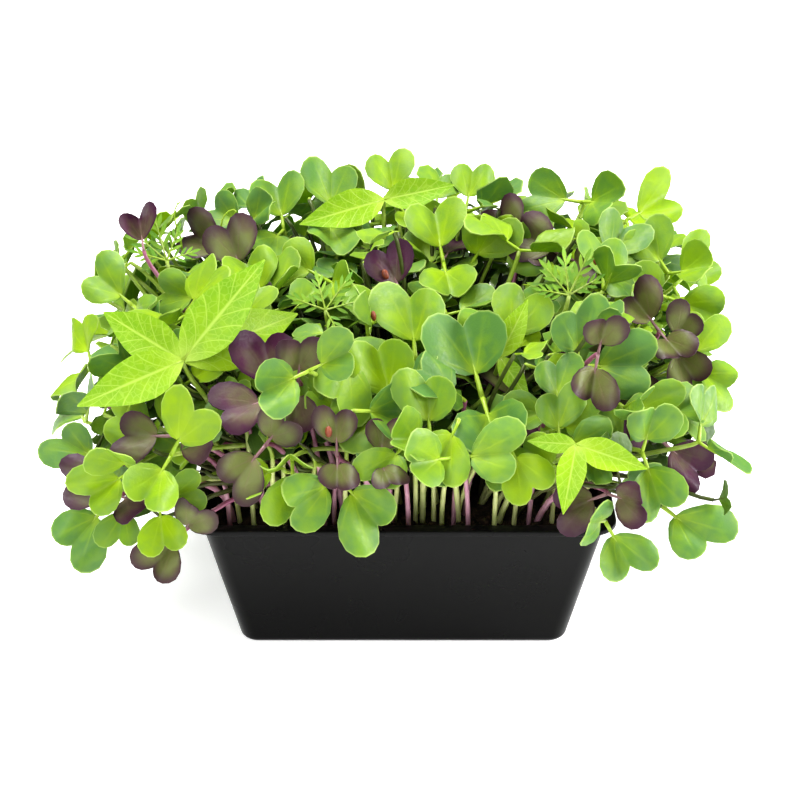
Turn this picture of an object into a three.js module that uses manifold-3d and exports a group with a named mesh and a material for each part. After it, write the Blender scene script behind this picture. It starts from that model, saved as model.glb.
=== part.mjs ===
// A small plastic tray of growing microgreens: radish seedlings with green and purple heart-shaped seed
// leaves, mung bean seedlings with long pointed leaves, and fine-leaved cress, all rooted in dark soil.
// Millimetres, +Z up, origin at the middle of the tray's underside, the tray's long side along X.
import * as THREE from "three";
import { mergeVertices } from "three/addons/utils/BufferGeometryUtils.js";
import Module from "manifold-3d";

const wasm = await Module();
wasm.setup();

// Tray
const RIM_WIDTH = 120;
const RIM_DEPTH = 92;
const TRAY_HEIGHT = 44.5;
const BASE_WIDTH = 95;
const BASE_DEPTH = 67;
const WALL = 1.2;
const LIP_WIDTH = 2.8;
const LIP_THICKNESS = 1.6;
const CORNER_RADIUS = 5;
const BASE_FILLET = 2.5;
const TRAY_CORNER_STEPS = 6;

// Soil
const SOIL_TOP = TRAY_HEIGHT - 4;
const SOIL_GAP = 0.3;
const SOIL_CORNER_STEPS = 3;
const SOIL_RING_SHARES = [0.78, 0.52, 0.26];
const SOIL_BUMP = 0.7;
const HOLE_RADIUS = 5.9;
const HOLE_SIDES = 4;
const HOLE_DEPTH = 5.5;

// Roots stand on staggered seats, a plain hole in the soil for each bunch
const SEAT_STEP_X = 10.5;
const SEAT_STEP_Y = 10.6;
const SEAT_MARGIN = 6;
const KNOT_RADIUS = 2.4;
const KNOT_DEPTH = 2.2;
const FOOT_OFFSET = 1;
const FEET_APART = 1.2;
const ROOT_PULL = 0.62;

// Stems
const STEM_RADIUS = 1;
const STEM_SIDES = 3;
const STEM_STEPS = 4;
const OVER_RIM = TRAY_HEIGHT + 20;
const NECK_BEND = 7;
const STEM_LEANS = [0.2, 0.05, 0.34];
const STEMS_PART_BY = 9;

// Leaf blades
const BLADE_THICKNESS = 0.8;
const NECK_HALF_WIDTH = 1.15;
const LEAF_FOOT_HALF_WIDTH = 0.75;
const NECK_SUNK = 0.5;
const PETIOLE_SHARE = 0.36;
const PAIR_RISE = 22;
const MATE_TURNS = [180, 150, 210, 125, 235, 100, 260];
const MATE_RISES = [0, 30, -25, 50];
const MATE_SHARE = 0.9;

// Outlines as [along, half width], in shares of the blade's length, from the leaf's foot to its end
const HEART = [
  [0.08, 0.28],
  [0.4, 0.58],
  [0.78, 0.57],
  [1, 0.28],
];
const HEART_NOTCH = 0.85;
const HEART_MIDDLE = 0.5;
const LANCE = [
  [0.12, 0.13],
  [0.38, 0.215],
  [0.7, 0.14],
];
const LEAFLET = [
  [0.3, 0.14],
  [0.7, 0.15],
];
const POINTED_MIDDLE = 0.45;

// How far a blade folds up along its midrib and droops towards its end
const FOLDS = [0.1, 0.34];
const DROOPS = [0.02, 0.16];

// Room between neighbours, measured between points spread over stems and blades
const SAMPLE_STEP = 1.3;
const BLADE_ROOM = 1.7;
const STEM_ROOM = 2.3;
const TRAY_CLEARANCE = 2;

// No leaf hangs further than this below the lip in front of the tray, as seen from the front, and gaps at the
// front are left open so that the stems show there
const FRONT_OVERHANG = 3.5;
const BARE_FRONT_HALF_WIDTH = 50;
const BARE_FRONT_FROM = -52;

// How far the crop spreads to the left and to the right
const CROP_SPAN = [-106, 97];

// The crop is grown to be seen from the front, 26 degrees above the table. A leading seedling without room in
// its own place is slid along that line of sight and nudged across it.
const VIEW_ELEVATION = 26;
const SLIDES = [0, -2, 2, -4, 4, -7, -10, -14, -18];
const NUDGES = [[0, 0], [3, 0], [-3, 0], [0, 3], [0, -3], [5, 3], [-5, 3], [5, -3], [-5, -3]];
const SEATS_TRIED = 12;

// The canopy as a flat-topped dome, a little higher at the back
const CANOPY_HALF_WIDTH = 97;
const CANOPY_HALF_DEPTH = 70;
const CANOPY_EDGE = 66;
const CANOPY_RISE = 38;
const CANOPY_BACK_SLOPE = 0.1;
const EDGE_TILT = 58;
const FILL_STEP = 14.5;
const FILL_JITTER = 4;
const FILL_NEAREST = 10.5;
const FILLERS_PER_BUNCH = 2;
const FILL_TRIES = 24;
const FILLER_LENGTHS = [12, 16];
const FILLER_RISES = [12, 42];
const FILLER_DEPTH = 16;
const FILLER_VEER = 0.5;
const SEED_STEP = 7919;

// Leading radish seedlings, bunch by bunch: [x, y, z] of the foot of the first leaf's blade, the way it
// points as seen from the front (0 right, 90 up), its lean towards the front, and its length.
const GREEN_BUNCHES = [
  [[-14, -58, 67, -52, 5, 15]],
  [[-30, -57, 71, -88, 12, 12.5]],
  [[75, -47, 50, -38, 0, 15]],
  [[63, -53, 68, -70, 5, 13.5]],
  [[-86, -40, 46, -130, 10, 14.5], [-88, -33, 62, 150, 0, 12]],
  [[-55, -54, 74, 60, 20, 14]],
  [[18, -57, 74, 5, 0, 14]],
  [[57, -57, 53, -60, 0, 13]],
  [[20, -31, 86, 105, 0, 18.5]],
  [[10, -48, 80, 95, 5, 14]],
  [[-4, -41, 82, 105, 5, 15.5]],
  [[3, -20, 91, 95, -10, 17]],
  [[-32, -48, 93, 205, 25, 12.5]],
  [[37, -51, 76, 92, 0, 11.5], [39, -38, 83, 92, -5, 11]],
  [[65, -36, 78, 0, 0, 13]],
  [[-74, -49, 63, -150, 0, 12.5]],
  [[-76, -37, 68, 155, 5, 13]],
  [[-66, -55, 58, -80, 10, 11]],
  [[25, -45, 76, 120, 0, 11.5]],
  [[54, -31, 85, 0, 10, 16]],
  [[83, -10, 83, 70, -5, 12.5], [84, 2, 93, -20, 10, 13.5]],
  [[34, -15, 91, 70, -5, 14.5]],
  [[76, 20, 99, 120, -10, 13], [84, 14, 97, 40, -10, 13]],
  [[11, 24, 102, 100, -15, 15]],
  [[-22, 46, 107, 90, -10, 14], [-37, 42, 105, 100, -15, 13.5]],
  [[-51, 40, 104, 150, -20, 12]],
  [[-3, 53, 109, 100, -15, 12.5], [20, 50, 108, 80, -10, 11]],
  [[50, 50, 107, 170, -20, 15]],
  [[72, 44, 105, 30, -15, 14]],
  [[-30, 14, 98, 150, -20, 14]],
  [[-61, 2, 95, 170, -20, 13], [-77, 8, 96, 140, -15, 13]],
  [[61, 16, 100, 60, -15, 13.5]],
];
const PURPLE_BUNCHES = [
  [[-83, -47, 58, 165, 0, 12]],
  [[-67, -47, 75, 180, 0, 12]],
  [[-43, -54, 72, -130, 5, 12]],
  [[-63, -57, 47, -130, 0, 11.5]],
  [[-18, -53, 76, 92, 0, 10], [-9, -53, 74, 80, 0, 9]],
  [[-34, -52, 86, -95, 15, 12]],
  [[-33, -40, 88, 100, 0, 14.5]],
  [[51, -57, 61, 200, 0, 11.5]],
  [[75, -34, 64, -40, 0, 12.5]],
  [[52, -40, 92, -100, 10, 11], [54, -12, 80, 130, 0, 14]],
  [[70, -12, 94, 125, 0, 11], [75, -22, 88, -60, 10, 11]],
  [[-2, 8, 97, 110, 0, 12]],
  [[44, 24, 101, 150, -10, 13], [33, 33, 103, 120, -10, 11]],
  [[-49, 22, 98, 110, 0, 13.5], [-61, 28, 97, 150, -10, 12.5]],
];

// Mung bean and cress stand alone: the joint, then [turn, lean, length] of each leaf
const MUNG_BEANS = [
  { joint: [-60, -37, 93], leaves: [[51, 5, 35], [204, 12, 31], [150, -22, 30], [24, -25, 38]] },
  { joint: [46, -56, 77], leaves: [[-101, 8, 19], [-19, 8, 20], [176, 0, 13]] },
  { joint: [-6, 42, 110], leaves: [[198, 22, 27], [12, 0, 22]] },
  { joint: [27, -20, 86], leaves: [[64, 5, 18], [-56, 12, 15]] },
];
const CRESS_SPRIGS = [
  { joint: [-22, -12, 97], leaves: [[15, 10, 9], [55, 0, 10], [105, -10, 9], [160, 10, 9], [-60, 20, 8]] },
  { joint: [47, -6, 99], leaves: [[30, 0, 9], [65, 10, 11], [95, -15, 11], [130, 5, 10], [170, 10, 8]] },
  { joint: [-70, 20, 99], leaves: [[70, 0, 9], [105, 10, 12], [140, 5, 13], [165, 15, 9], [20, -10, 8]] },
];

// Colours: three greens and three purples taken in turn
const GREENS = [0x8fbf2e, 0x6fa63a, 0x9ccc3c];
const PURPLES = [0x5a4350, 0x6b5560, 0x74705a];
const COLOURS = { tray: 0x222224, soil: 0x2a201a, mung: 0xa6cf2c, cress: 0x7cb63c };

const radians = THREE.MathUtils.degToRad;
const vector = (x, y, z) => new THREE.Vector3(x, y, z);
const UP = vector(0, 0, 1);
const VIEW_RIGHT = vector(1, 0, 0);
const VIEW_UP = vector(0, Math.sin(radians(VIEW_ELEVATION)), Math.cos(radians(VIEW_ELEVATION)));
const VIEW_OUT = vector(0, -Math.cos(radians(VIEW_ELEVATION)), Math.sin(radians(VIEW_ELEVATION)));

// Solids

function toSolid(geometry) {
  geometry.deleteAttribute("normal");
  geometry.deleteAttribute("uv");
  const merged = mergeVertices(geometry, 1e-4);
  return new wasm.Manifold(
    new wasm.Mesh({
      numProp: 3,
      vertProperties: merged.attributes.position.array,
      triVerts: new Uint32Array(merged.index.array),
    }),
  );
}

function toGeometry(solid) {
  const mesh = solid.getMesh();
  const geometry = new THREE.BufferGeometry();
  geometry.setAttribute("position", new THREE.BufferAttribute(mesh.vertProperties, 3));
  geometry.setIndex(new THREE.BufferAttribute(mesh.triVerts, 1));
  geometry.computeVertexNormals();
  return geometry;
}

function facesOf(points, triangles) {
  const geometry = new THREE.BufferGeometry().setFromPoints(points);
  geometry.setIndex(triangles);
  return geometry;
}

// A rounded rectangle at height z, anticlockwise from above
function roundedRing(width, depth, radius, z, steps) {
  const x = width / 2 - radius;
  const y = depth / 2 - radius;
  const corners = [[x, y], [-x, y], [-x, -y], [x, -y]];
  return corners.flatMap(([cx, cy], quarter) =>
    Array.from({ length: steps + 1 }, (_, i) => {
      const angle = (Math.PI / 2) * (quarter + i / steps);
      return vector(cx + radius * Math.cos(angle), cy + radius * Math.sin(angle), z);
    }),
  );
}

// A closed skin over a row of rings: the first is capped from below, the last from above
function loft(rings) {
  const count = rings[0].length;
  const points = rings.flat();
  const triangles = [];
  rings.slice(1).forEach((_, r) => {
    for (let i = 0; i < count; i++) {
      const a = r * count + i;
      const b = r * count + ((i + 1) % count);
      triangles.push(a, b, b + count, a, b + count, a + count);
    }
  });
  const middle = (ring) => ring.reduce((sum, p) => sum.add(p), vector(0, 0, 0)).divideScalar(count);
  const bottom = points.push(middle(rings[0])) - 1;
  const top = points.push(middle(rings.at(-1))) - 1;
  const last = (rings.length - 1) * count;
  for (let i = 0; i < count; i++) {
    const next = (i + 1) % count;
    triangles.push(bottom, next, i, top, last + i, last + next);
  }
  return facesOf(points, triangles);
}

// Tray and soil

const LIP = 2 * LIP_WIDTH;
const wallWidth = (z) => THREE.MathUtils.lerp(BASE_WIDTH, RIM_WIDTH - LIP, z / TRAY_HEIGHT);
const wallDepth = (z) => THREE.MathUtils.lerp(BASE_DEPTH, RIM_DEPTH - LIP, z / TRAY_HEIGHT);

// The wall's outline at height z, moved in by a distance
function wallRing(z, inset, steps) {
  const radius = Math.max(CORNER_RADIUS - inset, 2);
  return roundedRing(wallWidth(z) - 2 * inset, wallDepth(z) - 2 * inset, radius, z, steps);
}

function trayGeometry() {
  const lipRing = (z) =>
    roundedRing(RIM_WIDTH, RIM_DEPTH, CORNER_RADIUS + LIP_WIDTH, z, TRAY_CORNER_STEPS);
  const turn = BASE_FILLET * (1 - Math.SQRT1_2);
  return loft([
    wallRing(0, BASE_FILLET, TRAY_CORNER_STEPS),
    wallRing(turn, turn, TRAY_CORNER_STEPS),
    wallRing(BASE_FILLET, 0, TRAY_CORNER_STEPS),
    wallRing(TRAY_HEIGHT - LIP_THICKNESS, 0, TRAY_CORNER_STEPS),
    lipRing(TRAY_HEIGHT - LIP_THICKNESS),
    lipRing(TRAY_HEIGHT),
    wallRing(TRAY_HEIGHT, WALL, TRAY_CORNER_STEPS),
    wallRing(WALL, WALL, TRAY_CORNER_STEPS),
  ]);
}

function soilHeight(x, y) {
  const broad = Math.sin(0.13 * x + 0.4) * Math.cos(0.17 * y);
  const fine = Math.sin(0.31 * x - 0.27 * y);
  return SOIL_TOP + SOIL_BUMP * (broad + 0.5 * fine);
}

function soilSolid(roots) {
  const inset = WALL + SOIL_GAP;
  const edge = wallRing(SOIL_TOP, inset, SOIL_CORNER_STEPS);
  const inner = SOIL_RING_SHARES.map((share) =>
    edge.map((p) => vector(share * p.x, share * p.y, soilHeight(share * p.x, share * p.y))),
  );
  const floor = WALL + SOIL_GAP;
  const body = toSolid(loft([wallRing(floor, inset, SOIL_CORNER_STEPS), edge, ...inner]));
  return roots.reduce((soil, root) => {
    const hole = new THREE.CylinderGeometry(HOLE_RADIUS, HOLE_RADIUS, 2 * HOLE_DEPTH, HOLE_SIDES);
    hole.rotateX(Math.PI / 2).rotateZ(Math.PI / 4).translate(root.x, root.y, root.z);
    return soil.subtract(toSolid(hole));
  }, body);
}

// Random draws

function drawsFrom(seed) {
  let state = seed;
  return (low, high) => {
    state = (state * 16807) % 2147483647;
    return low + (high - low) * (state / 2147483647);
  };
}

// Leaves

// A blade: its foot, the way it points, its upper side, its outline, and how it folds and droops
function blade(foot, along, upper, shape, fold, droop) {
  const across = upper.clone().cross(along);
  const lift = (x, y) => fold * Math.abs(y) - (droop * x * x) / shape.reach;
  const at = (x, y, up) =>
    foot.clone().addScaledVector(along, x).addScaledVector(across, y).addScaledVector(upper, lift(x, y) + up);
  return { shape, at };
}

function heartShape(length) {
  const petiole = PETIOLE_SHARE * length;
  const side = HEART.map(([along, half]) => [petiole + along * length, half * length]);
  const end = petiole + HEART_NOTCH * length;
  return { side, end, middle: petiole + HEART_MIDDLE * length, reach: petiole + length };
}

function pointedShape(outline, length) {
  const side = outline.map(([along, half]) => [along * length, half * length]);
  return { side, end: length, middle: POINTED_MIDDLE * length, reach: length };
}

// A blade's outline from its right foot round its end to its left foot
function outlineOf({ side, end }) {
  const right = side.map(([x, half]) => [x, -half]);
  const left = side.toReversed();
  return [...right, [end, 0], ...left];
}

// Adds a blade's two faces, the same fan round its middle above and below so that they never cross, and its
// edge wall. Its foot is the two corners given, as [upper, under] pairs of point numbers.
function addBlade(points, triangles, { shape, at }, [first, last]) {
  const half = BLADE_THICKNESS / 2;
  const corner = ([x, y]) => [points.push(at(x, y, half)) - 1, points.push(at(x, y, -half)) - 1];
  const middle = corner([shape.middle, 0]);
  const ring = [first, ...outlineOf(shape).map(corner), last];
  ring.forEach((here, i) => {
    const next = ring[(i + 1) % ring.length];
    triangles.push(middle[0], here[0], next[0], middle[1], next[1], here[1]);
    if (i < ring.length - 1) triangles.push(here[0], here[1], next[1], here[0], next[1], next[0]);
  });
}

// A pair of seed leaves is one sheet, joined foot to foot over the top of the stem
function pairSolid({ joint, axis, side, blades }) {
  const half = BLADE_THICKNESS / 2;
  const across = axis.clone().cross(side);
  const foot = (way, up) => joint.clone().addScaledVector(across, way).addScaledVector(axis, up);
  const points = [-1, 1].flatMap((way) => [half, -half].map((up) => foot(way * NECK_HALF_WIDTH, up)));
  const triangles = [];
  const [right, left] = [[0, 1], [2, 3]];
  addBlade(points, triangles, blades[0], [right, left]);
  addBlade(points, triangles, blades[1], [left, right]);
  return toSolid(facesOf(points, triangles));
}

// A leaf of its own, its foot sunk in the stem
function leafSolid({ shape, at }) {
  const half = BLADE_THICKNESS / 2;
  const foot = (y) => [at(-NECK_SUNK, y, half), at(-NECK_SUNK, y, -half)];
  const points = [...foot(-LEAF_FOOT_HALF_WIDTH), ...foot(LEAF_FOOT_HALF_WIDTH)];
  const triangles = [0, 2, 3, 0, 3, 1];
  addBlade(points, triangles, { shape, at }, [[0, 1], [2, 3]]);
  return toSolid(facesOf(points, triangles));
}

function bladeSamples({ shape, at }) {
  const rows = [[0, LEAF_FOOT_HALF_WIDTH], ...shape.side];
  const last = rows.at(-1);
  const ends = shape.end > last[0] ? [...rows, [shape.end, 0]] : rows;
  const samples = [];
  for (let x = SAMPLE_STEP; x <= shape.reach; x += SAMPLE_STEP) {
    const next = ends.findIndex(([along]) => along >= x);
    const [x0, half0] = ends[next - 1];
    const [x1, half1] = ends[next];
    const half = half0 + ((half1 - half0) * (x - x0)) / (x1 - x0);
    const steps = Math.max(1, Math.ceil((2 * half) / SAMPLE_STEP));
    for (let i = 0; i <= steps; i++) samples.push(at(x, half * ((2 * i) / steps - 1), 0));
  }
  return samples;
}

// Seedlings

// The stem rises from its root, leans out over the rim where it has to, and bends into its top axis
function stemCurve(root, joint, axis, lean, offset) {
  const foot = root.clone().addScaledVector(UP, -KNOT_DEPTH).add(offset);
  const rising = root.clone().lerp(joint, lean).add(offset);
  rising.z = Math.max(root.z + 0.55 * (joint.z - root.z), OVER_RIM);
  const neck = joint.clone().addScaledVector(axis, -NECK_BEND);
  return new THREE.CubicBezierCurve3(foot, rising, neck, joint);
}

function stemSolid(curve) {
  const section = new THREE.Shape(
    Array.from({ length: STEM_SIDES }, (_, i) => {
      const angle = (2 * Math.PI * i) / STEM_SIDES;
      return new THREE.Vector2(STEM_RADIUS * Math.cos(angle), STEM_RADIUS * Math.sin(angle));
    }),
  );
  return toSolid(new THREE.ExtrudeGeometry(section, { steps: STEM_STEPS, extrudePath: curve }));
}

function stemSamples(curve, root) {
  const count = Math.ceil(curve.getLength() / SAMPLE_STEP);
  const points = Array.from({ length: count + 1 }, (_, i) => curve.getPoint(i / count));
  return points.filter((p) => p.z > root.z + TRAY_CLEARANCE);
}

// A pair of seed leaves on the stem's top axis. The second has a choice of places opposite the first, so that
// it can grow where there is room.
function radish(joint, axis, side, rise, length, draw) {
  const fold = draw(...FOLDS);
  const droop = draw(...DROOPS);
  const leaf = (turn, angle, share) => {
    const out = side.clone().applyAxisAngle(axis, turn);
    const along = out.clone().multiplyScalar(Math.cos(angle)).addScaledVector(axis, Math.sin(angle));
    const upper = axis.clone().multiplyScalar(Math.cos(angle)).addScaledVector(out, -Math.sin(angle));
    return blade(joint, along, upper, heartShape(length * share), fold, droop);
  };
  const mates = MATE_RISES.flatMap((more) =>
    MATE_TURNS.map((turn) => leaf(radians(turn), rise + radians(more), MATE_SHARE)),
  );
  return { joint, axis, side, blades: [leaf(0, rise, 1)], mates };
}

// Directions of a leaf set as it is seen from the front
function seen(turn, lean) {
  const flat = VIEW_RIGHT.clone().multiplyScalar(Math.cos(radians(turn)));
  flat.addScaledVector(VIEW_UP, Math.sin(radians(turn)));
  const along = flat.clone().multiplyScalar(Math.cos(radians(lean)));
  along.addScaledVector(VIEW_OUT, Math.sin(radians(lean)));
  const upper = VIEW_OUT.clone().multiplyScalar(Math.cos(radians(lean)));
  upper.addScaledVector(flat, -Math.sin(radians(lean)));
  return { along, upper };
}

function leadingRadish(foot, [, , , turn, lean, length], draw) {
  const rise = radians(PAIR_RISE);
  const { along, upper } = seen(turn, lean);
  const joint = foot.clone().addScaledVector(along, -PETIOLE_SHARE * length);
  const axis = upper.clone().multiplyScalar(Math.cos(rise)).addScaledVector(along, Math.sin(rise));
  const side = along.clone().multiplyScalar(Math.cos(rise)).addScaledVector(upper, -Math.sin(rise));
  return radish(joint, axis, side, rise, length, draw);
}

function leafySprig(joint, { leaves }, outline, draw) {
  const blades = leaves.map(([turn, lean, length]) => {
    const { along, upper } = seen(turn, lean);
    return blade(joint, along, upper, pointedShape(outline, length), draw(...FOLDS), draw(...DROOPS));
  });
  return { joint, axis: UP, side: null, blades, mates: [] };
}

// Room in the canopy

const taken = new Map();
const cellOf = (value) => Math.floor(value / STEM_ROOM);

const inSpan = (p) => p.x > CROP_SPAN[0] && p.x < CROP_SPAN[1];

function hidesFront(p) {
  const lip = vector(p.x, -RIM_DEPTH / 2, TRAY_HEIGHT);
  const inFront = p.y < lip.y && Math.abs(p.x) < BARE_FRONT_HALF_WIDTH;
  return inFront && p.clone().sub(lip).dot(VIEW_UP) < -FRONT_OVERHANG;
}

function clearOfTray(p) {
  if (hidesFront(p)) return false;
  const { x, y, z } = p;
  if (z > TRAY_HEIGHT + TRAY_CLEARANCE) return true;
  const beside =
    Math.abs(x) > RIM_WIDTH / 2 + TRAY_CLEARANCE || Math.abs(y) > RIM_DEPTH / 2 + TRAY_CLEARANCE;
  const inner = LIP_WIDTH + WALL + TRAY_CLEARANCE;
  const inside = Math.abs(x) < RIM_WIDTH / 2 - inner && Math.abs(y) < RIM_DEPTH / 2 - inner;
  return beside || (inside && z > SOIL_TOP + TRAY_CLEARANCE);
}

function clearOfPlants({ p, stem }, bunch) {
  const [cx, cy, cz] = [p.x, p.y, p.z].map(cellOf);
  for (let i = -1; i <= 1; i++) {
    for (let j = -1; j <= 1; j++) {
      for (let k = -1; k <= 1; k++) {
        const near = taken.get(`${cx + i},${cy + j},${cz + k}`) ?? [];
        const blocked = (other) =>
          other.p.distanceTo(p) < (stem || other.stem ? STEM_ROOM : BLADE_ROOM) &&
          !(other.bunch === bunch && other.stem && stem && p.z < SOIL_TOP + STEMS_PART_BY);
        if (near.some(blocked)) return false;
      }
    }
  }
  return true;
}

// Keeps the plant and its room if its leaves, and a stem that leans one way or another from this root, are
// clear of the tray and of every other plant
function settle(bunch, root, plant) {
  const clear = (sample) => inSpan(sample.p) && clearOfTray(sample.p) && clearOfPlants(sample, bunch);
  const onLeaf = (leaf) => bladeSamples(leaf).map((p) => ({ p, stem: false }));
  if (!plant.blades.flatMap(onLeaf).every(clear)) return false;
  const mate = plant.mates.find((leaf) => onLeaf(leaf).every(clear));
  if (plant.mates.length && !mate) return false;
  const blades = mate ? [...plant.blades, mate] : plant.blades;
  const offset = footOffset(bunch, root, plant.joint);
  for (const lean of STEM_LEANS) {
    const stem = stemCurve(root, plant.joint, plant.axis, lean, offset);
    const onStem = stemSamples(stem, root).map((p) => ({ p, stem: true }));
    if (!onStem.every(clear)) continue;
    keepRoom([...blades.flatMap(onLeaf), ...onStem], bunch);
    bunch.plants.push({ ...plant, blades, stem, offset });
    return true;
  }
  return false;
}

// A stem leaves the knot on the side it leans to, or beside the stems that are there already
function footOffset(bunch, root, joint) {
  const heading = Math.atan2(joint.y - root.y, joint.x - root.x);
  const sides = [0, 1, -1, 2, -2, 3].map((step) => {
    const angle = heading + (step * Math.PI) / 3;
    return vector(Math.cos(angle), Math.sin(angle), 0).multiplyScalar(FOOT_OFFSET);
  });
  const free = (offset) => bunch.plants.every((other) => other.offset.distanceTo(offset) > FEET_APART);
  return sides.find(free) ?? sides[0];
}

function keepRoom(samples, bunch) {
  samples.forEach(({ p, stem }) => {
    const key = [p.x, p.y, p.z].map(cellOf).join();
    if (!taken.has(key)) taken.set(key, []);
    taken.get(key).push({ p, stem, bunch });
  });
}

// Seats for roots, in staggered rows over the soil
function rootSeats() {
  const halfWidth = wallWidth(SOIL_TOP) / 2 - WALL - SEAT_MARGIN;
  const halfDepth = wallDepth(SOIL_TOP) / 2 - WALL - SEAT_MARGIN;
  const rows = Math.floor(halfDepth / SEAT_STEP_Y);
  const columns = Math.ceil(halfWidth / SEAT_STEP_X);
  const seats = [];
  for (let row = -rows; row <= rows; row++) {
    const stagger = row % 2 === 0 ? 0 : SEAT_STEP_X / 2;
    for (let column = -columns; column <= columns; column++) {
      const x = column * SEAT_STEP_X + stagger;
      const y = row * SEAT_STEP_Y;
      if (Math.abs(x) <= halfWidth) seats.push(vector(x, y, soilHeight(x, y)));
    }
  }
  return seats;
}

const freeSeats = rootSeats();
const across = (a, b) => Math.hypot(a.x - b.x, a.y - b.y);

// The free seats nearest to where a plant that leans out this far would root
function nearSeats(joint) {
  const wanted = vector(ROOT_PULL * joint.x, ROOT_PULL * joint.y, 0);
  return [...freeSeats].sort((a, b) => across(a, wanted) - across(b, wanted)).slice(0, SEATS_TRIED);
}

// Sets a plant at its place, or moved along the line of sight and across it to be clear of the others
function setPlant(bunch, place, make) {
  const seats = bunch.root ? [bunch.root] : nearSeats(vector(...place));
  const moves = SLIDES.flatMap((out) => NUDGES.map(([right, up]) => [out, right, up]));
  for (const [out, right, up] of moves) {
    const there = vector(...place).addScaledVector(VIEW_OUT, out);
    const plant = make(there.addScaledVector(VIEW_RIGHT, right).addScaledVector(VIEW_UP, up));
    const seat = seats.find((root) => settle(bunch, root, plant));
    if (!seat) continue;
    if (!bunch.root) freeSeats.splice(freeSeats.indexOf(seat), 1);
    bunch.root = seat;
    return;
  }
}

// Planting

const bunches = [];
let plantCount = 0;

function nextDraws() {
  plantCount += 1;
  return drawsFrom(plantCount * SEED_STEP);
}

function startBunch(name, colour, room) {
  const bunch = { name, colour, room, root: null, plants: [] };
  bunches.push(bunch);
  return bunch;
}

function plantSprigs(name, sprigs, outline, colour) {
  sprigs.forEach((sprig, i) => {
    const bunch = startBunch(`${name}_${i + 1}`, colour, 0);
    const seed = nextDraws()(1, 1e6);
    setPlant(bunch, sprig.joint, (joint) =>
      leafySprig(joint, sprig, outline, drawsFrom(Math.floor(seed))),
    );
  });
}

function plantRadishes(name, list, colours, room) {
  list.forEach((leaders, i) => {
    const number = String(i + 1).padStart(2, "0");
    const bunch = startBunch(`${name}_${number}`, colours[i % colours.length], room);
    leaders.forEach((leader) => {
      const seed = nextDraws()(1, 1e6);
      setPlant(bunch, leader.slice(0, 3), (joint) =>
        leadingRadish(joint, leader, drawsFrom(Math.floor(seed))),
      );
    });
  });
}

function canopyShare(x, y) {
  return Math.cbrt((Math.abs(x) / CANOPY_HALF_WIDTH) ** 3 + (Math.abs(y) / CANOPY_HALF_DEPTH) ** 3);
}

// A joint on the canopy over (x, y), its axis tilted outwards towards the edge
function canopyPlace(x, y, draw) {
  const share = canopyShare(x, y);
  const height = CANOPY_EDGE + CANOPY_RISE * Math.sqrt(1 - share ** 2.5) + CANOPY_BACK_SLOPE * y;
  const joint = vector(x, y, height - draw(0, FILLER_DEPTH));
  const tilt = radians(EDGE_TILT * share ** 2);
  const heading = Math.atan2(y, x) + draw(-FILLER_VEER, FILLER_VEER);
  const out = vector(Math.cos(heading), Math.sin(heading), 0);
  const axis = UP.clone().multiplyScalar(Math.cos(tilt)).addScaledVector(out, Math.sin(tilt));
  return { joint, axis };
}

function fillerRadish(x, y, draw) {
  const { joint, axis } = canopyPlace(x, y, draw);
  const spin = draw(0, Math.PI);
  const first = vector(1, 0, 0).addScaledVector(axis, -axis.x).normalize();
  const second = axis.clone().cross(first);
  const side = first.multiplyScalar(Math.cos(spin)).addScaledVector(second, Math.sin(spin));
  return radish(joint, axis, side, radians(draw(...FILLER_RISES)), draw(...FILLER_LENGTHS), draw);
}

// Gaps in the canopy are filled from the nearest bunch that still has room
function fillCanopy() {
  const rows = Math.ceil(CANOPY_HALF_DEPTH / FILL_STEP);
  const columns = Math.ceil(CANOPY_HALF_WIDTH / FILL_STEP);
  for (let row = -rows; row <= rows; row++) {
    for (let column = -columns; column <= columns; column++) {
      const draw = nextDraws();
      const stagger = row % 2 === 0 ? 0 : FILL_STEP / 2;
      const x = column * FILL_STEP + stagger + draw(-FILL_JITTER, FILL_JITTER);
      const y = row * FILL_STEP + draw(-FILL_JITTER, FILL_JITTER);
      if (canopyShare(x, y) < 1) fillGap(x, y, draw);
    }
  }
}

function fillGap(x, y, draw) {
  if (y < BARE_FRONT_FROM && Math.abs(x) < BARE_FRONT_HALF_WIDTH) return;
  const here = vector(x, y, 0);
  const joints = bunches.flatMap((bunch) => bunch.plants.map((plant) => plant.joint));
  if (joints.some((joint) => across(joint, here) < FILL_NEAREST)) return;
  const rooted = bunches.filter((bunch) => bunch.root && bunch.room > 0);
  if (!rooted.length) return;
  const wanted = here.multiplyScalar(ROOT_PULL);
  const bunch = rooted.reduce((a, b) => (across(b.root, wanted) < across(a.root, wanted) ? b : a));
  for (let i = 0; i < FILL_TRIES; i++) {
    if (!settle(bunch, bunch.root, fillerRadish(x, y, draw))) continue;
    bunch.room -= 1;
    return;
  }
}

function plantSolid(plant) {
  const leaves = plant.side ? [pairSolid(plant)] : plant.blades.map(leafSolid);
  return leaves.reduce((whole, leaf) => whole.add(leaf), stemSolid(plant.stem));
}

// A bunch is one body: several seedlings grow from one root knot, and a hollow between them is filled
function bunchSolid({ root, plants }) {
  const [first, ...others] = plants.map(plantSolid);
  if (!others.length) return first;
  const knot = new THREE.OctahedronGeometry(KNOT_RADIUS);
  knot.translate(root.x, root.y, root.z - KNOT_DEPTH);
  const whole = others.reduce((joined, plant) => joined.add(plant), first.add(toSolid(knot)));
  return whole.decompose().find((shell) => shell.volume() > 0);
}

plantSprigs("mung_bean", MUNG_BEANS, LANCE, COLOURS.mung);
plantSprigs("cress", CRESS_SPRIGS, LEAFLET, COLOURS.cress);
plantRadishes("radish_purple", PURPLE_BUNCHES, PURPLES, 0);
plantRadishes("radish_green", GREEN_BUNCHES, GREENS, FILLERS_PER_BUNCH);
fillCanopy();

// The part

const part = new THREE.Group();

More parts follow.
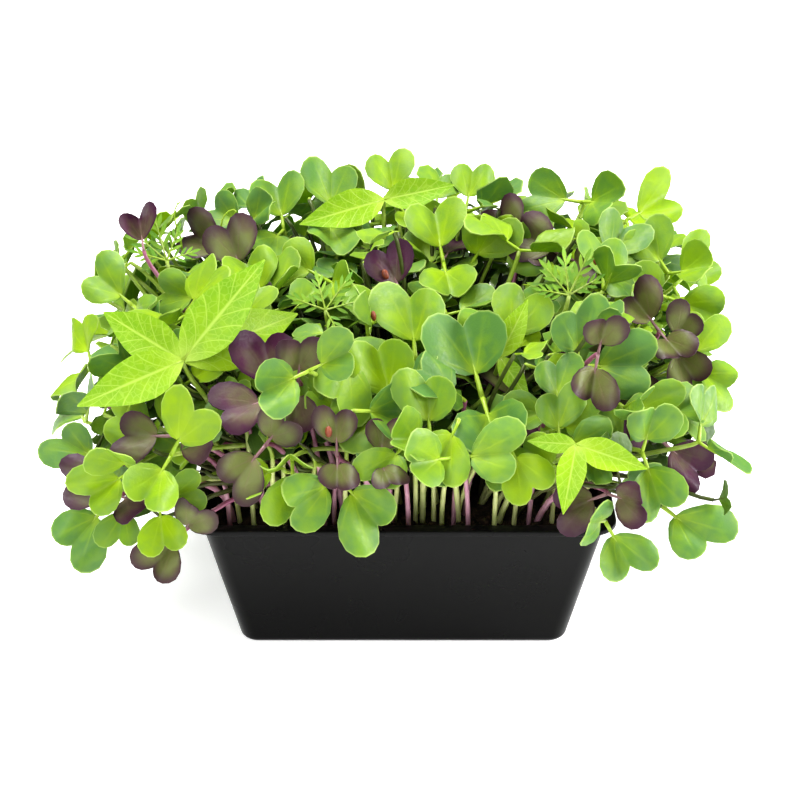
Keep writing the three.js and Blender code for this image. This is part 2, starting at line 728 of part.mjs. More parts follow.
function addPiece(name, geometry, color, roughness) {
  const material = new THREE.MeshStandardMaterial({ color, roughness, metalness: 0 });
  const mesh = new THREE.Mesh(geometry, material);
  mesh.name = name;
  part.add(mesh);
}

const grown = bunches.filter((bunch) => bunch.plants.length);
addPiece("tray", trayGeometry(), COLOURS.tray, 0.45);
addPiece("soil", toGeometry(soilSolid(grown.map((bunch) => bunch.root))), COLOURS.soil, 0.95);
grown.forEach((bunch) => addPiece(bunch.name, toGeometry(bunchSolid(bunch)), bunch.colour, 0.5));

export default part;
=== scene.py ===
# %% [markdown]
# # A tray of microgreens
#
# A black plastic tray holds dark soil and a crop of seedlings: radish with green or purple heart-shaped
# seed leaves, a few mung beans with long pointed leaves, and fine cress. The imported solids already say
# where every large seedling stands. This lesson keeps those places and gives each piece its real surface:
# thin leaves with veins, slim stems, crumbly soil and satin plastic.

# %% Load the frame
import math
import random
from collections import namedtuple
from contextlib import contextmanager

import bpy
import numpy as np
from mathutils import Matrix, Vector, noise


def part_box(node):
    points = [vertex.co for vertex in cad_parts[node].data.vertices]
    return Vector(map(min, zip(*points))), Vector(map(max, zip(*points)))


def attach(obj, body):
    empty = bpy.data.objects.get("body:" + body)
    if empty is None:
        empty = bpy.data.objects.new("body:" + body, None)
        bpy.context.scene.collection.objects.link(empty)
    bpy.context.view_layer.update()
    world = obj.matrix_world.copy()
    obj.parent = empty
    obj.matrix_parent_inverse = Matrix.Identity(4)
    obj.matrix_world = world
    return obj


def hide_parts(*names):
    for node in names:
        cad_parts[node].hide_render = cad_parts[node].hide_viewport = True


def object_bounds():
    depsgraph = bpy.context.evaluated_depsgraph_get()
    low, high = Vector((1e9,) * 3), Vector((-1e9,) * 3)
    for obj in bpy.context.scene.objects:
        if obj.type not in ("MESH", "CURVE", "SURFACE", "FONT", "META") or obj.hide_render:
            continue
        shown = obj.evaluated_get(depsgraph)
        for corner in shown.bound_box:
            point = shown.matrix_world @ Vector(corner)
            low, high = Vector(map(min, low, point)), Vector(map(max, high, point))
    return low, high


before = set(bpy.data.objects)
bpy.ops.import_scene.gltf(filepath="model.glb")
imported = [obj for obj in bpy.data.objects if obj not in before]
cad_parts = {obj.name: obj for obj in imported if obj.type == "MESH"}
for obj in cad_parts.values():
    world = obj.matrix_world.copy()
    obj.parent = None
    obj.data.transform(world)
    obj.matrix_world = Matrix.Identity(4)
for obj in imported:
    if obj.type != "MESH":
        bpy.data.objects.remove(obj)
cad_low, cad_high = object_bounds()
MM = 0.001
print("solids", len(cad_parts), "box in mm", [round(v / MM) for v in cad_high - cad_low])

# %% [markdown]
# ## The view
#
# The tray is seen from the front and from 26 degrees above the table, through a long lens that keeps its
# walls nearly straight. A camera could be aimed with a constraint, but a fixed place and tilt are easier
# to read.

# %% Camera
VIEW_ELEVATION = math.radians(26)
LOOK_AT = Vector((-1.0, 0.0, 62.9)) * MM
CAMERA_DISTANCE = 600 * MM
LENS = 91.6

view_out = Vector((0, -math.cos(VIEW_ELEVATION), math.sin(VIEW_ELEVATION)))
bpy.ops.object.camera_add(
    location=LOOK_AT + CAMERA_DISTANCE * view_out,
    rotation=(math.pi / 2 - VIEW_ELEVATION, 0, 0),
)
camera = bpy.context.object
camera.data.lens = LENS
bpy.context.scene.camera = camera
print("camera at", [round(v / MM) for v in camera.location])

# %% [markdown]
# ## Small helpers
#
# Operators act on whatever is selected, and the frame arrives selected, so every step first clears the
# selection. A repeated shape is modelled once as a pattern. Each copy gets its own mesh, and its points
# are then bent to their place. A number on every point, its tint, shifts the copy's colours.

# %% Start, select and edit
def select_only(*pieces):
    bpy.ops.object.select_all(action="DESELECT")
    for piece in pieces:
        piece.select_set(True)
    bpy.context.view_layer.objects.active = pieces[0]


def started(name, primitive, **settings):
    bpy.ops.object.select_all(action="DESELECT")
    primitive(**settings)
    bpy.context.object.name = name
    return bpy.context.object


@contextmanager
def edit_mode():
    bpy.ops.object.mode_set(mode="EDIT")
    yield
    bpy.ops.object.mode_set(mode="OBJECT")


def face_outwards():
    with edit_mode():
        bpy.ops.mesh.select_all(action="SELECT")
        bpy.ops.mesh.normals_make_consistent(inside=False)


def apply_modifier(piece, kind, **settings):
    select_only(piece)
    bpy.ops.object.modifier_add(type=kind)
    modifier = piece.modifiers[-1]
    for setting, value in settings.items():
        setattr(modifier, setting, value)
    bpy.ops.object.modifier_apply(modifier=modifier.name)


print("modelling helpers ready")

# %% Points, copies and joins
def points_of(piece):
    points = np.empty(len(piece.data.vertices) * 3)
    piece.data.vertices.foreach_get("co", points)
    return points.reshape(-1, 3)


def set_points(piece, points):
    piece.data.vertices.foreach_set("co", points.astype(np.float32).ravel())
    piece.data.update()


def add_tint(piece):
    piece.data.attributes.new("tint", "FLOAT", "POINT")


def copy_of(pattern, points, tint, finishes):
    piece = pattern.copy()
    piece.data = pattern.data.copy()
    bpy.context.scene.collection.objects.link(piece)
    set_points(piece, points)
    tints = np.full(len(points), tint, np.float32)
    piece.data.attributes["tint"].data.foreach_set("value", tints)
    for index, finish in enumerate(finishes):
        piece.data.materials[index] = finish
    return piece


def hand_in(piece, slot, *nodes):
    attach(piece, "root")
    if nodes:
        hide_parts(*nodes)


def joined(pieces, name, slot, *nodes):
    select_only(*pieces)
    if len(pieces) > 1:
        bpy.ops.object.join()
    whole = bpy.context.view_layer.objects.active
    whole.name = name
    whole.data.name = name
    hand_in(whole, slot, *nodes)
    return whole


def faces_of(*pieces):
    return sum(len(piece.data.polygons) for piece in pieces)


print("copying helpers ready")

# %% [markdown]
# ## Finishes from nodes
#
# A finish is a small graph: textures make masks, masks mix colours, and the result feeds one shader. A
# short helper adds a node, sets its values and links its inputs, so that each graph reads from top to
# bottom. A tuple stands for a colour.

# %% Node helpers
MOST_NOISE = (0.3, 0.7)


class Finish:
    def __init__(self, name, **sockets):
        self.material = bpy.data.materials.new(name)
        self.material.use_nodes = True
        self.tree = self.material.node_tree
        self.shader = self.tree.nodes["Principled BSDF"]
        for socket, value in sockets.items():
            self.feed(socket.replace("_", " "), value)

    def set(self, node, socket, value):
        if isinstance(value, bpy.types.NodeSocket):
            self.tree.links.new(value, node.inputs[socket])
        else:
            plain = (*value, 1.0) if isinstance(value, tuple) else value
            node.inputs[socket].default_value = plain

    def feed(self, socket, value):
        self.set(self.shader, socket, value)

    def add(self, kind, output, inputs, **settings):
        node = self.tree.nodes.new("ShaderNode" + kind)
        for setting, value in settings.items():
            setattr(node, setting, value)
        for socket, value in inputs.items():
            self.set(node, socket, value)
        return node.outputs[output]

    def place(self):
        return self.add("TexCoord", "Object", {})

    def height(self):
        return self.add("SeparateXYZ", "Z", {0: self.place()})

    def uv(self):
        along = self.add("SeparateXYZ", "X", {0: self.add("TexCoord", "UV", {})})
        return along, along.node.outputs["Y"]

    def tint(self):
        return self.add("Attribute", "Fac", {}, attribute_name="tint")

    def noise(self, scale, detail=2.0):
        inputs = {"Vector": self.place(), "Scale": scale, "Detail": detail}
        return self.add("TexNoise", "Fac", inputs)

    def cell_edges(self, scale):
        inputs = {"Vector": self.place(), "Scale": scale}
        return self.add("TexVoronoi", "Distance", inputs, feature="DISTANCE_TO_EDGE")

    def math(self, operation, first, second=0.0):
        return self.add("Math", "Value", {0: first, 1: second}, operation=operation)

    def ramp(self, value, low, high, start=0.0, end=1.0):
        inputs = {"Value": value, "From Min": low, "From Max": high, "To Min": start, "To Max": end}
        return self.add("MapRange", "Result", inputs, interpolation_type="SMOOTHSTEP")

    def mottling(self, scale, start, end, detail=2.0):
        return self.ramp(self.noise(scale, detail), *MOST_NOISE, start, end)

    def mix(self, share, first, second):
        return self.add("Mix", 2, {0: share, 6: first, 7: second}, data_type="RGBA")

    def bump(self, height, strength, distance):
        inputs = {"Height": height, "Strength": strength, "Distance": distance}
        self.feed("Normal", self.add("Bump", "Normal", inputs))

    def glow(self, colour, share):
        through = self.add("BsdfTranslucent", "BSDF", {"Color": colour})
        inputs = {0: share, 1: self.shader.outputs["BSDF"], 2: through}
        self.set(self.tree.nodes["Material Output"], "Surface", self.add("MixShader", "Shader", inputs))


print("finish helpers ready")

# %% [markdown]
# ## Studio
#
# The tray stands on white paper in soft light. A lamp above models the leaves, one in front lights their
# faces, and one at the right draws the pale streak on the tray's corner. The world only fills the
# shadows, and the paper glows a little, so that it stays white without more light on the crop.

# %% Floor, world and lamps
FLOOR_SIZE = 6.0
PAPER = {
    "Base_Color": (0.93, 0.93, 0.93),
    "Roughness": 0.9,
    "Emission_Color": (1.0, 1.0, 1.0),
    "Emission_Strength": 0.46,
}
LAMPS = {
    "overhead": {"place": (-0.2, 0.15, 0.95), "size": 0.6, "watts": 15.0},
    "front": {"place": (-0.35, -0.9, 0.75), "size": 0.8, "watts": 8.5},
    "right": {"place": (0.85, -0.1, 0.4), "size": 0.4, "watts": 12.0},
}
AIM = Vector((0, 0, 0.06))
WORLD_LIGHT = {"Color": (1, 1, 1, 1), "Strength": 0.3}


def studio_lamp(name, place, size, watts):
    aim = (AIM - Vector(place)).to_track_quat("-Z", "Y").to_euler()
    bpy.ops.object.light_add(type="AREA", location=place, rotation=aim)
    lamp = bpy.context.object
    lamp.name = name
    lamp.data.size = size
    lamp.data.energy = watts


floor = started("floor", bpy.ops.mesh.primitive_plane_add, size=FLOOR_SIZE)
floor.data.materials.append(Finish("white_paper", **PAPER).material)
for name, lamp in LAMPS.items():
    studio_lamp(name, **lamp)

world = bpy.data.worlds.new("studio")
world.use_nodes = True
for socket, value in WORLD_LIGHT.items():
    world.node_tree.nodes["Background"].inputs[socket].default_value = value
bpy.context.scene.world = world
bpy.context.scene.view_settings.view_transform = "Standard"
bpy.context.scene.view_settings.look = "Medium High Contrast"
print("lamps", list(LAMPS))

# %% [markdown]
# ## Tray
#
# The tray is a thin moulding: a flat base, a rounded turn into flared walls, a narrow lip turned out round
# the top, and the inside wall back down to the floor. It could be carved from a box. Here one rounded ring
# is drawn at the base and extruded ring by ring up the outside, over the lip and down the inside, as the
# sheet runs.

# %% Tray rings
tray_low, tray_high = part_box("tray")
RIM = (tray_high - tray_low).to_2d() / MM
TRAY_HEIGHT = tray_high.z / MM
BASE = Vector((95, 67))
WALL = 1.2
LIP_WIDTH = 2.8
LIP_THICKNESS = 1.6
CORNER_RADIUS = 5
LEAST_RADIUS = 2
CORNER_STEPS = 10
BASE_FILLET = 2
FILLET_STEPS = 5


def rounded_ring(size, radius, z):
    x, y = size[0] / 2 - radius, size[1] / 2 - radius
    ring = []
    for quarter, (cx, cy) in enumerate([(x, y), (-x, y), (-x, -y), (x, -y)]):
        for step in range(CORNER_STEPS + 1):
            angle = math.pi / 2 * (quarter + step / CORNER_STEPS)
            ring.append((cx + radius * math.cos(angle), cy + radius * math.sin(angle), z))
    return np.array(ring) * MM


def wall_ring(z, inset):
    top = RIM - Vector((2 * LIP_WIDTH, 2 * LIP_WIDTH))
    size = BASE.lerp(top, z / TRAY_HEIGHT) - Vector((2 * inset, 2 * inset))
    return rounded_ring(size, max(CORNER_RADIUS - inset, LEAST_RADIUS), z)


def tray_rings():
    rings = []
    for step in range(FILLET_STEPS + 1):
        angle = math.pi / 2 * step / FILLET_STEPS
        inset = BASE_FILLET * (1 - math.sin(angle))
        rings.append(wall_ring(BASE_FILLET * (1 - math.cos(angle)), inset))
    under_lip = TRAY_HEIGHT - LIP_THICKNESS
    lip_radius = CORNER_RADIUS + LIP_WIDTH
    return rings + [
        wall_ring(under_lip, 0),
        rounded_ring(RIM, lip_radius, under_lip),
        rounded_ring(RIM, lip_radius, TRAY_HEIGHT),
        wall_ring(TRAY_HEIGHT, WALL),
        wall_ring(WALL + BASE_FILLET, WALL),
        wall_ring(WALL, WALL + BASE_FILLET / 2),
    ]


rings = tray_rings()
print("rings", len(rings), "of", len(rings[0]), "points")

# %% [markdown]
# An extruded ring stays selected, so the next one starts from it. Its points may come in another order
# than the ring below, so each looks for the point that it grew from before it moves. Two flat faces then
# close the ends, and a small bevel takes the sharpness off the lip.

# %% Extrude the tray
EDGE_ROUNDING = 0.45 * MM


def lofted(name, rings):
    count = len(rings[0])
    piece = started(name, bpy.ops.mesh.primitive_circle_add, vertices=count, fill_type="NOTHING")
    set_points(piece, rings[0])
    for ring in rings[1:]:
        with edit_mode():
            bpy.ops.mesh.extrude_edges_move()
        points = points_of(piece)
        below = points[-2 * count : -count]
        order = [int(np.argmin(np.linalg.norm(below - p, axis=1))) for p in points[-count:]]
        points[-count:] = ring[order]
        set_points(piece, points)
    return piece


def close_ends(piece, count):
    total = len(piece.data.vertices)
    for end in (range(count), range(total - count, total)):
        with edit_mode():
            bpy.ops.mesh.select_all(action="DESELECT")
        for index in end:
            piece.data.vertices[index].select = True
        with edit_mode():
            bpy.ops.mesh.select_mode(type="VERT")
            bpy.ops.mesh.edge_face_add()
    face_outwards()


tray = lofted("tray_shell", rings)
close_ends(tray, len(rings[0]))
bevel = {"width": EDGE_ROUNDING, "segments": 3, "limit_method": "ANGLE", "angle_limit": math.radians(50)}
apply_modifier(tray, "BEVEL", **bevel)
select_only(tray)
bpy.ops.object.shade_smooth_by_angle(angle=math.radians(35))
print("tray faces", faces_of(tray))

# %% [markdown]
# The plastic is satin black. Its base colour is nearly black, painted lighter towards the lip and darker
# towards the base: a painted reflection of the bright paper further off, and painted shade where the wall
# mirrors the shadow at its foot. Most of what the eye sees is the studio in its skin. A fine moulded grain
# breaks that reflection up, and broad faint patches of handling make it a little uneven.

# %% Satin black plastic
# The two blacks of the painted gradient: painted shade at the foot, painted reflection at the lip.
BLACK_IN_PAINTED_SHADE = (0.0002, 0.0002, 0.0002)
BLACK_WITH_PAINTED_REFLECTION = (0.007, 0.007, 0.007)


def satin_plastic():
    finish = Finish("satin_black_plastic", Specular_IOR_Level=0.1)
    # Painted reflection and shade: the base colour rises from darker at the foot to lighter at the lip.
    painted_reflection_rise = finish.ramp(finish.height(), 0.0, TRAY_HEIGHT * MM)
    finish.feed("Base Color", finish.mix(painted_reflection_rise, BLACK_IN_PAINTED_SHADE, BLACK_WITH_PAINTED_REFLECTION))
    finish.feed("Roughness", finish.mottling(60, 0.24, 0.36, detail=3))
    finish.bump(finish.noise(4200, detail=1), strength=0.12, distance=0.08 * MM)
    return finish.material


tray.data.materials.append(satin_plastic())
hand_in(tray, "tray", "tray")
print("tray finished")

# %% [markdown]
# ## Soil
#
# The soil is a dark crumbly block that fills the tray to just under its lip. A grid is rounded to the
# tray's corners and raised by noise at three sizes, then extruded down to the floor so that it is a
# closed body.

# %% Soil block
soil_low, soil_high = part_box("soil")
SOIL_HALF = (soil_high - soil_low) / 2
SOIL_BELOW_LIP = 4
SOIL_TOP = TRAY_HEIGHT - SOIL_BELOW_LIP
SOIL_GRID = {"x_subdivisions": 84, "y_subdivisions": 62, "size": 2}
SOIL_FOOT = 1.04
CORNER_EASE = 0.15
CLODS = [(0.9, 12), (0.7, 4.5), (0.4, 1.9)]


def soil_height(x, y):
    spot = Vector((x, y, 0)) / MM
    rise = sum(size * noise.noise(spot / width) for size, width in CLODS)
    return (SOIL_TOP + rise) * MM


def soil_block():
    soil = started("soil_block", bpy.ops.mesh.primitive_grid_add, **SOIL_GRID)
    points = points_of(soil)
    x, y = points[:, 0].copy(), points[:, 1].copy()
    points[:, 0] = x * SOIL_HALF.x * np.sqrt(1 - CORNER_EASE * y**2 / 2)
    points[:, 1] = y * SOIL_HALF.y * np.sqrt(1 - CORNER_EASE * x**2 / 2)
    points[:, 2] = [soil_height(px, py) for px, py in points[:, :2]]
    set_points(soil, points)
    with edit_mode():
        bpy.ops.mesh.select_all(action="SELECT")
        bpy.ops.mesh.extrude_region_move()
    moved = np.array([v.select for v in soil.data.vertices])
    points = points_of(soil)
    points[moved] *= (BASE.x / RIM.x * SOIL_FOOT, BASE.y / RIM.y * SOIL_FOOT, 0)
    points[moved, 2] = soil_low.z
    set_points(soil, points)
    with edit_mode():
        bpy.ops.mesh.dissolve_limited(angle_limit=math.radians(1))
    face_outwards()
    bpy.ops.object.shade_smooth()
    return soil


soil = soil_block()
print("soil faces", faces_of(soil))

# %% [markdown]
# Its colour is two browns in clods, with a few paler fibres. Real soil hardly shines, so it is rough all
# over, and the grains that lighten it also raise its surface.

# %% Potting soil
def soil_finish():
    finish = Finish("potting_soil", Roughness=0.95, Specular_IOR_Level=0.2)
    clods = finish.ramp(finish.noise(420, detail=4), 0.35, 0.7)
    grains = finish.noise(1800)
    brown = finish.mix(clods, (0.010, 0.007, 0.005), (0.045, 0.028, 0.017))
    fibres = finish.ramp(grains, 0.62, 0.75)
    finish.feed("Base Color", finish.mix(fibres, brown, (0.09, 0.06, 0.04)))
    finish.bump(grains, strength=0.8, distance=0.5 * MM)
    return finish.material


earth = soil_finish()
soil.data.materials.append(earth)
hand_in(soil, "soil", "soil")
print("soil finished with", earth.name)

# %% [markdown]
# Loose crumbs lie on the soil. Particles could scatter them, but a loop is easier to follow: one sphere is
# made lumpy by noise, then copied, turned, flattened and set down wherever the draw says.

# %% Crumbs
CRUMBS = 420
CRUMB_SIZES = (0.5, 1.5)
CRUMB_SPREAD = (-0.95, 0.95)
CRUMB_LUMPS = {"depth": 0.45, "scale": 1.3}
CRUMB_FLATNESS = 0.7
CRUMB_LIFT = 0.2
crumb_draw = random.Random(5)


def crumb_pattern():
    crumb = started("crumb", bpy.ops.mesh.primitive_ico_sphere_add, subdivisions=2, radius=1)
    points = points_of(crumb)
    bumps = [noise.noise(Vector(p) * CRUMB_LUMPS["scale"]) for p in points]
    set_points(crumb, points * (1 + CRUMB_LUMPS["depth"] * np.array(bumps))[:, None])
    crumb.data.materials.append(earth)
    add_tint(crumb)
    return crumb


def crumb_points(shape):
    size = crumb_draw.uniform(*CRUMB_SIZES) * MM
    x = crumb_draw.uniform(*CRUMB_SPREAD) * SOIL_HALF.x
    y = crumb_draw.uniform(*CRUMB_SPREAD) * SOIL_HALF.y
    turn = crumb_draw.uniform(0, 2 * math.pi)
    spun = shape.copy()
    spun[:, 0] = shape[:, 0] * math.cos(turn) - shape[:, 1] * math.sin(turn)
    spun[:, 1] = shape[:, 0] * math.sin(turn) + shape[:, 1] * math.cos(turn)
    return spun * (size, size, CRUMB_FLATNESS * size) + (x, y, soil_height(x, y) + CRUMB_LIFT * size)


crumb = crumb_pattern()
crumb_shape = points_of(crumb)
scattered = [copy_of(crumb, crumb_points(crumb_shape), 0, [earth]) for _ in range(CRUMBS)]
crumbs = joined(scattered, "soil_crumbs", "soil")
bpy.data.objects.remove(crumb)
print("crumbs", CRUMBS, "faces", faces_of(crumbs))

# %% [markdown]
# ## Leaf and stem finishes
#
# A seedling's leaf is a thin wet sheet: light passes through it, its veins are paler than the flesh between
# them, and its margin is a fine line. The leaf's map runs from foot to margin and from side to side, so
# veins and margin are drawn on it, while soft mottling comes from noise in space. The tint shifts the whole
# blade between a deep and a pale colour.

# %% Veins
FAN_VEIN_SPACING = 0.36
FAN_VEIN_WIDTH = 0.05
PINNATE_VEINS = 7
PINNATE_VEIN_WIDTH = 0.09
VEIN_SLANT = 2.4
VEIN_CURL = 0.9
VEIN_START = 10
NET_SCALE = 520
MIDRIB = (0.02, 0.1)


def fan_veins(finish, along, side):
    distance = finish.math("PINGPONG", side, FAN_VEIN_SPACING / 2)
    lines = finish.ramp(distance, 0.0, FAN_VEIN_WIDTH, start=1, end=0)
    return finish.math("MULTIPLY", lines, finish.ramp(along, 0.1, 1.0, start=1, end=0.1))


def pinnate_veins(finish, along, side):
    rising = finish.math("MULTIPLY", along, PINNATE_VEINS)
    slant = finish.math("MULTIPLY", side, VEIN_SLANT)
    curl = finish.math("MULTIPLY", finish.math("MULTIPLY", side, side), VEIN_CURL)
    curl = finish.math("ADD", curl, VEIN_START)
    phase = finish.math("ADD", finish.math("SUBTRACT", rising, slant), curl)
    branches = finish.math("PINGPONG", phase, 0.5)
    branches = finish.ramp(branches, 0.0, PINNATE_VEIN_WIDTH, start=0.8, end=0)
    net = finish.ramp(finish.cell_edges(NET_SCALE), 0.0, PINNATE_VEIN_WIDTH, start=0.4, end=0)
    lines = finish.math("MAXIMUM", branches, net)
    return finish.math("MAXIMUM", lines, finish.ramp(side, *MIDRIB, start=1, end=0))


print("vein patterns", [veins.__name__ for veins in (fan_veins, pinnate_veins)])

# %% Leaf finish
def leaf_finish(name, veins, vein_share, deep, pale, vein, edge, through, edge_from=0.95, edge_share=0.45):
    finish = Finish(name, Specular_IOR_Level=0.36, Sheen_Weight=0.04, Sheen_Roughness=0.4)
    along, across = finish.uv()
    side = finish.math("MULTIPLY", finish.math("SUBTRACT", across, 0.5), 2)
    side = finish.math("ABSOLUTE", side)
    lines = veins(finish, along, side)
    mottling = finish.mottling(230, -0.18, 0.18, detail=3)
    fading = finish.math("ADD", mottling, finish.ramp(along, 0.0, 0.9, start=0.18, end=-0.1))
    flesh = finish.mix(finish.math("ADD", finish.tint(), fading), deep, pale)
    veined = finish.mix(finish.math("MULTIPLY", lines, vein_share), flesh, vein)
    footed = finish.mix(finish.ramp(along, 0.0, 0.22, start=0.5, end=0), veined, vein)
    colour = finish.mix(finish.ramp(along, edge_from, 1.0, end=edge_share), footed, edge)
    finish.feed("Base Color", colour)
    finish.feed("Roughness", finish.mottling(900, 0.38, 0.52))
    grain = finish.math("SUBTRACT", finish.noise(1500), lines)
    finish.bump(grain, strength=0.25, distance=0.3 * MM)
    finish.glow(finish.mix(0.5, colour, through), share=0.3)
    return finish.material


green_leaf = leaf_finish(
    "green_seed_leaf", fan_veins, 0.26,
    deep=(0.108, 0.235, 0.055), pale=(0.3, 0.455, 0.003), vein=(0.46, 0.61, 0.04),
    edge=(0.58, 0.72, 0.2), through=(0.46, 0.74, 0.01),
)
purple_leaf = leaf_finish(
    "purple_seed_leaf", fan_veins, 0.26,
    deep=(0.1, 0.028, 0.065), pale=(0.17, 0.195, 0.055), vein=(0.24, 0.16, 0.11),
    edge=(0.05, 0.009, 0.036), through=(0.3, 0.08, 0.14), edge_from=0.5, edge_share=0.85,
)
# Painted shade: a darker copy of the green seed leaf, for leaves deep in the crop where little light comes.
shaded_leaf = leaf_finish(
    "shaded_seed_leaf", fan_veins, 0.14,
    deep=(0.045, 0.11, 0.012), pale=(0.13, 0.24, 0.01), vein=(0.18, 0.28, 0.03),
    edge=(0.2, 0.3, 0.05), through=(0.18, 0.3, 0.01),
)
bean_leaf = leaf_finish(
    "pointed_bean_leaf", pinnate_veins, 0.6,
    deep=(0.17, 0.36, 0.012), pale=(0.34, 0.53, 0.015), vein=(0.56, 0.72, 0.13),
    edge=(0.5, 0.7, 0.08), through=(0.55, 0.8, 0.02), edge_from=0.97,
)
cress_leaf = leaf_finish(
    "cut_cress_leaf", pinnate_veins, 0.2,
    deep=(0.14, 0.34, 0.04), pale=(0.32, 0.52, 0.05), vein=(0.42, 0.6, 0.15),
    edge=(0.44, 0.6, 0.15), through=(0.5, 0.75, 0.08), edge_from=0.97,
)
leaf_finishes = (green_leaf, purple_leaf, shaded_leaf, bean_leaf, cress_leaf)
print("leaf finishes", [finish.name for finish in leaf_finishes])

# %% [markdown]
# Stems are juicy and pale. Each one shades from near white at its root to its leaf's colour at its joint.
# Its tint runs from 0 to 1 along it for that, so a stem that hangs over the lip keeps the right order too.
# The purple seedlings have pink stems, and the stalks are leaf-coloured throughout. Stems deep in the crop
# take dark copies of these colours: painted shade for the light that doesn't reach them.

# %% Stem finish
STEM_FADE = (0.12, 0.8)


def stem_finish(name, low, high, through):
    finish = Finish(name, Specular_IOR_Level=0.5)
    rise = finish.ramp(finish.tint(), *STEM_FADE)
    patches = finish.mottling(260, -0.25, 0.25)
    colour = finish.mix(finish.math("ADD", rise, patches), low, high)
    finish.feed("Base Color", colour)
    finish.feed("Roughness", finish.mottling(700, 0.3, 0.45))
    finish.bump(finish.noise(1600, detail=1), strength=0.15, distance=0.2 * MM)
    finish.glow(finish.mix(0.4, colour, through), share=0.25)
    return finish.material


pale_stem = stem_finish("pale_stem", (0.76, 0.8, 0.38), (0.34, 0.48, 0.06), (0.8, 0.86, 0.36))
pink_stem = stem_finish("pink_stem", (0.66, 0.38, 0.47), (0.34, 0.11, 0.19), (0.74, 0.34, 0.46))
green_stalk = stem_finish("green_stalk", (0.4, 0.55, 0.06), (0.32, 0.48, 0.03), (0.5, 0.74, 0.04))
purple_stalk = stem_finish("purple_stalk", (0.36, 0.2, 0.22), (0.26, 0.14, 0.15), (0.5, 0.25, 0.25))
# Painted shade: dark olive stems for seedlings deep in the crop.
shaded_stem = stem_finish("shaded_stem", (0.14, 0.14, 0.06), (0.08, 0.11, 0.02), (0.2, 0.24, 0.06))
stem_finishes = (pale_stem, pink_stem, green_stalk, purple_stalk, shaded_stem)
GREEN = (green_leaf, pale_stem, green_stalk)
PURPLE = (purple_leaf, pink_stem, purple_stalk)
PINK = (green_leaf, pink_stem, green_stalk)
# DIM and SHADED paint shade: dark stems, and for SHADED dark leaves too.
DIM = (green_leaf, shaded_stem, green_stalk)
SHADED = (shaded_leaf, shaded_stem, shaded_stem)
print("stem finishes", [finish.name for finish in stem_finishes])

# %% [markdown]
# ## Patterns for stems and leaves
#
# A stem is a round tube, made by extruding a small circle step by step. A radish seed leaf is a notched
# heart on a short stalk. A grid makes a good leaf, because its map already runs along and across: its rows
# are fanned out from the foot like the leaf's own veins, and each ray is stretched to the outline.

# %% Stem pattern
STEM_SIDES = 6
STEM_STEPS = 12


def tube_pattern(name, sides, steps):
    disc = {"vertices": sides, "radius": 1, "fill_type": "NGON", "rotation": (0, math.pi / 2, 0)}
    tube = started(name, bpy.ops.mesh.primitive_circle_add, **disc)
    bpy.ops.object.transform_apply(rotation=True)
    with edit_mode():
        bpy.ops.mesh.select_all(action="SELECT")
        for _ in range(steps):
            bpy.ops.mesh.extrude_region_move(TRANSFORM_OT_translate={"value": (1 / steps, 0, 0)})
    face_outwards()
    bpy.ops.object.shade_smooth()
    tube.data.materials.append(pale_stem)
    add_tint(tube)
    return tube


stem_pattern = tube_pattern("stem", STEM_SIDES, STEM_STEPS)
print("stem faces", faces_of(stem_pattern))

# %% Leaf blades
HEART_REACH = [
    (0, 0.75), (4, 0.84), (9, 0.94), (16, 1.02), (25, 1.05), (34, 1.02), (43, 0.94),
    (52, 0.8), (61, 0.61), (70, 0.41), (80, 0.23), (95, 0.1),
]
HEART_FAN = 88
HEART_CROWDING = 1.35
RAY_CROWDING = 0.85
HEART_GRID = (4, 20)
FOOT_SHARE = 0.05
PETIOLE_SHARE = 0.36
BLADE_THICKNESS = 0.026


def blade_pattern(name, grid, shape):
    counts = {"x_subdivisions": grid[0], "y_subdivisions": grid[1]}
    leaf = started(name, bpy.ops.mesh.primitive_grid_add, **counts, size=2, calc_uvs=True)
    flat = points_of(leaf)
    along, across = (flat[:, 0] + 1) / 2, flat[:, 1]
    set_points(leaf, np.array([shape(u, v) for u, v in zip(along, across)]))
    apply_modifier(leaf, "SOLIDIFY", thickness=BLADE_THICKNESS, offset=0)
    leaf.data.materials.append(green_leaf)
    add_tint(leaf)
    select_only(leaf)
    bpy.ops.object.shade_smooth_by_angle(angle=math.radians(60))
    return leaf


def heart_shape(along, across):
    angle = HEART_FAN * math.copysign(abs(across) ** HEART_CROWDING, across)
    reach = np.interp(abs(angle), *zip(*HEART_REACH))
    share = FOOT_SHARE + (1 - FOOT_SHARE) * along**RAY_CROWDING
    turn = math.radians(angle)
    return (PETIOLE_SHARE + share * reach * math.cos(turn), share * reach * math.sin(turn), 0)


heart_leaf = blade_pattern("seed_leaf", HEART_GRID, heart_shape)
print("heart faces", faces_of(heart_leaf))

# %% [markdown]
# The stalk runs on under the blade as its midrib and thins out there. It is a short copy of the stem tube,
# with its own finish in the leaf's second slot.

# %% Stalk and midrib
STALK_SIDES = 5
STALK_STEPS = 6
HEART_STALK = {
    "stations": [0, PETIOLE_SHARE, 0.8], "radii": [0.05, 0.036, 0.01], "sinks": [0, 0.01, 0.016],
}


def give_stalk(blade, stations, radii, sinks, sides=STALK_SIDES, steps=STALK_STEPS):
    stalk = tube_pattern("stalk", sides, steps)
    x, y, z = points_of(stalk).T
    x = x * stations[-1]
    radius = np.interp(x, stations, radii)
    set_points(stalk, np.column_stack([x, y * radius, z * radius - np.interp(x, stations, sinks)]))
    select_only(blade, stalk)
    bpy.ops.object.join()


give_stalk(heart_leaf, **HEART_STALK)
heart_points = points_of(heart_leaf)
print("seed leaf faces", faces_of(heart_leaf), "finishes", len(heart_leaf.data.materials))

# %% [markdown]
# The mung bean's true leaves are long and pointed, with a midrib and slanting side veins. Cress leaves are
# cut into small narrow lobes. Both are grids too, this time stretched straight along the midrib.

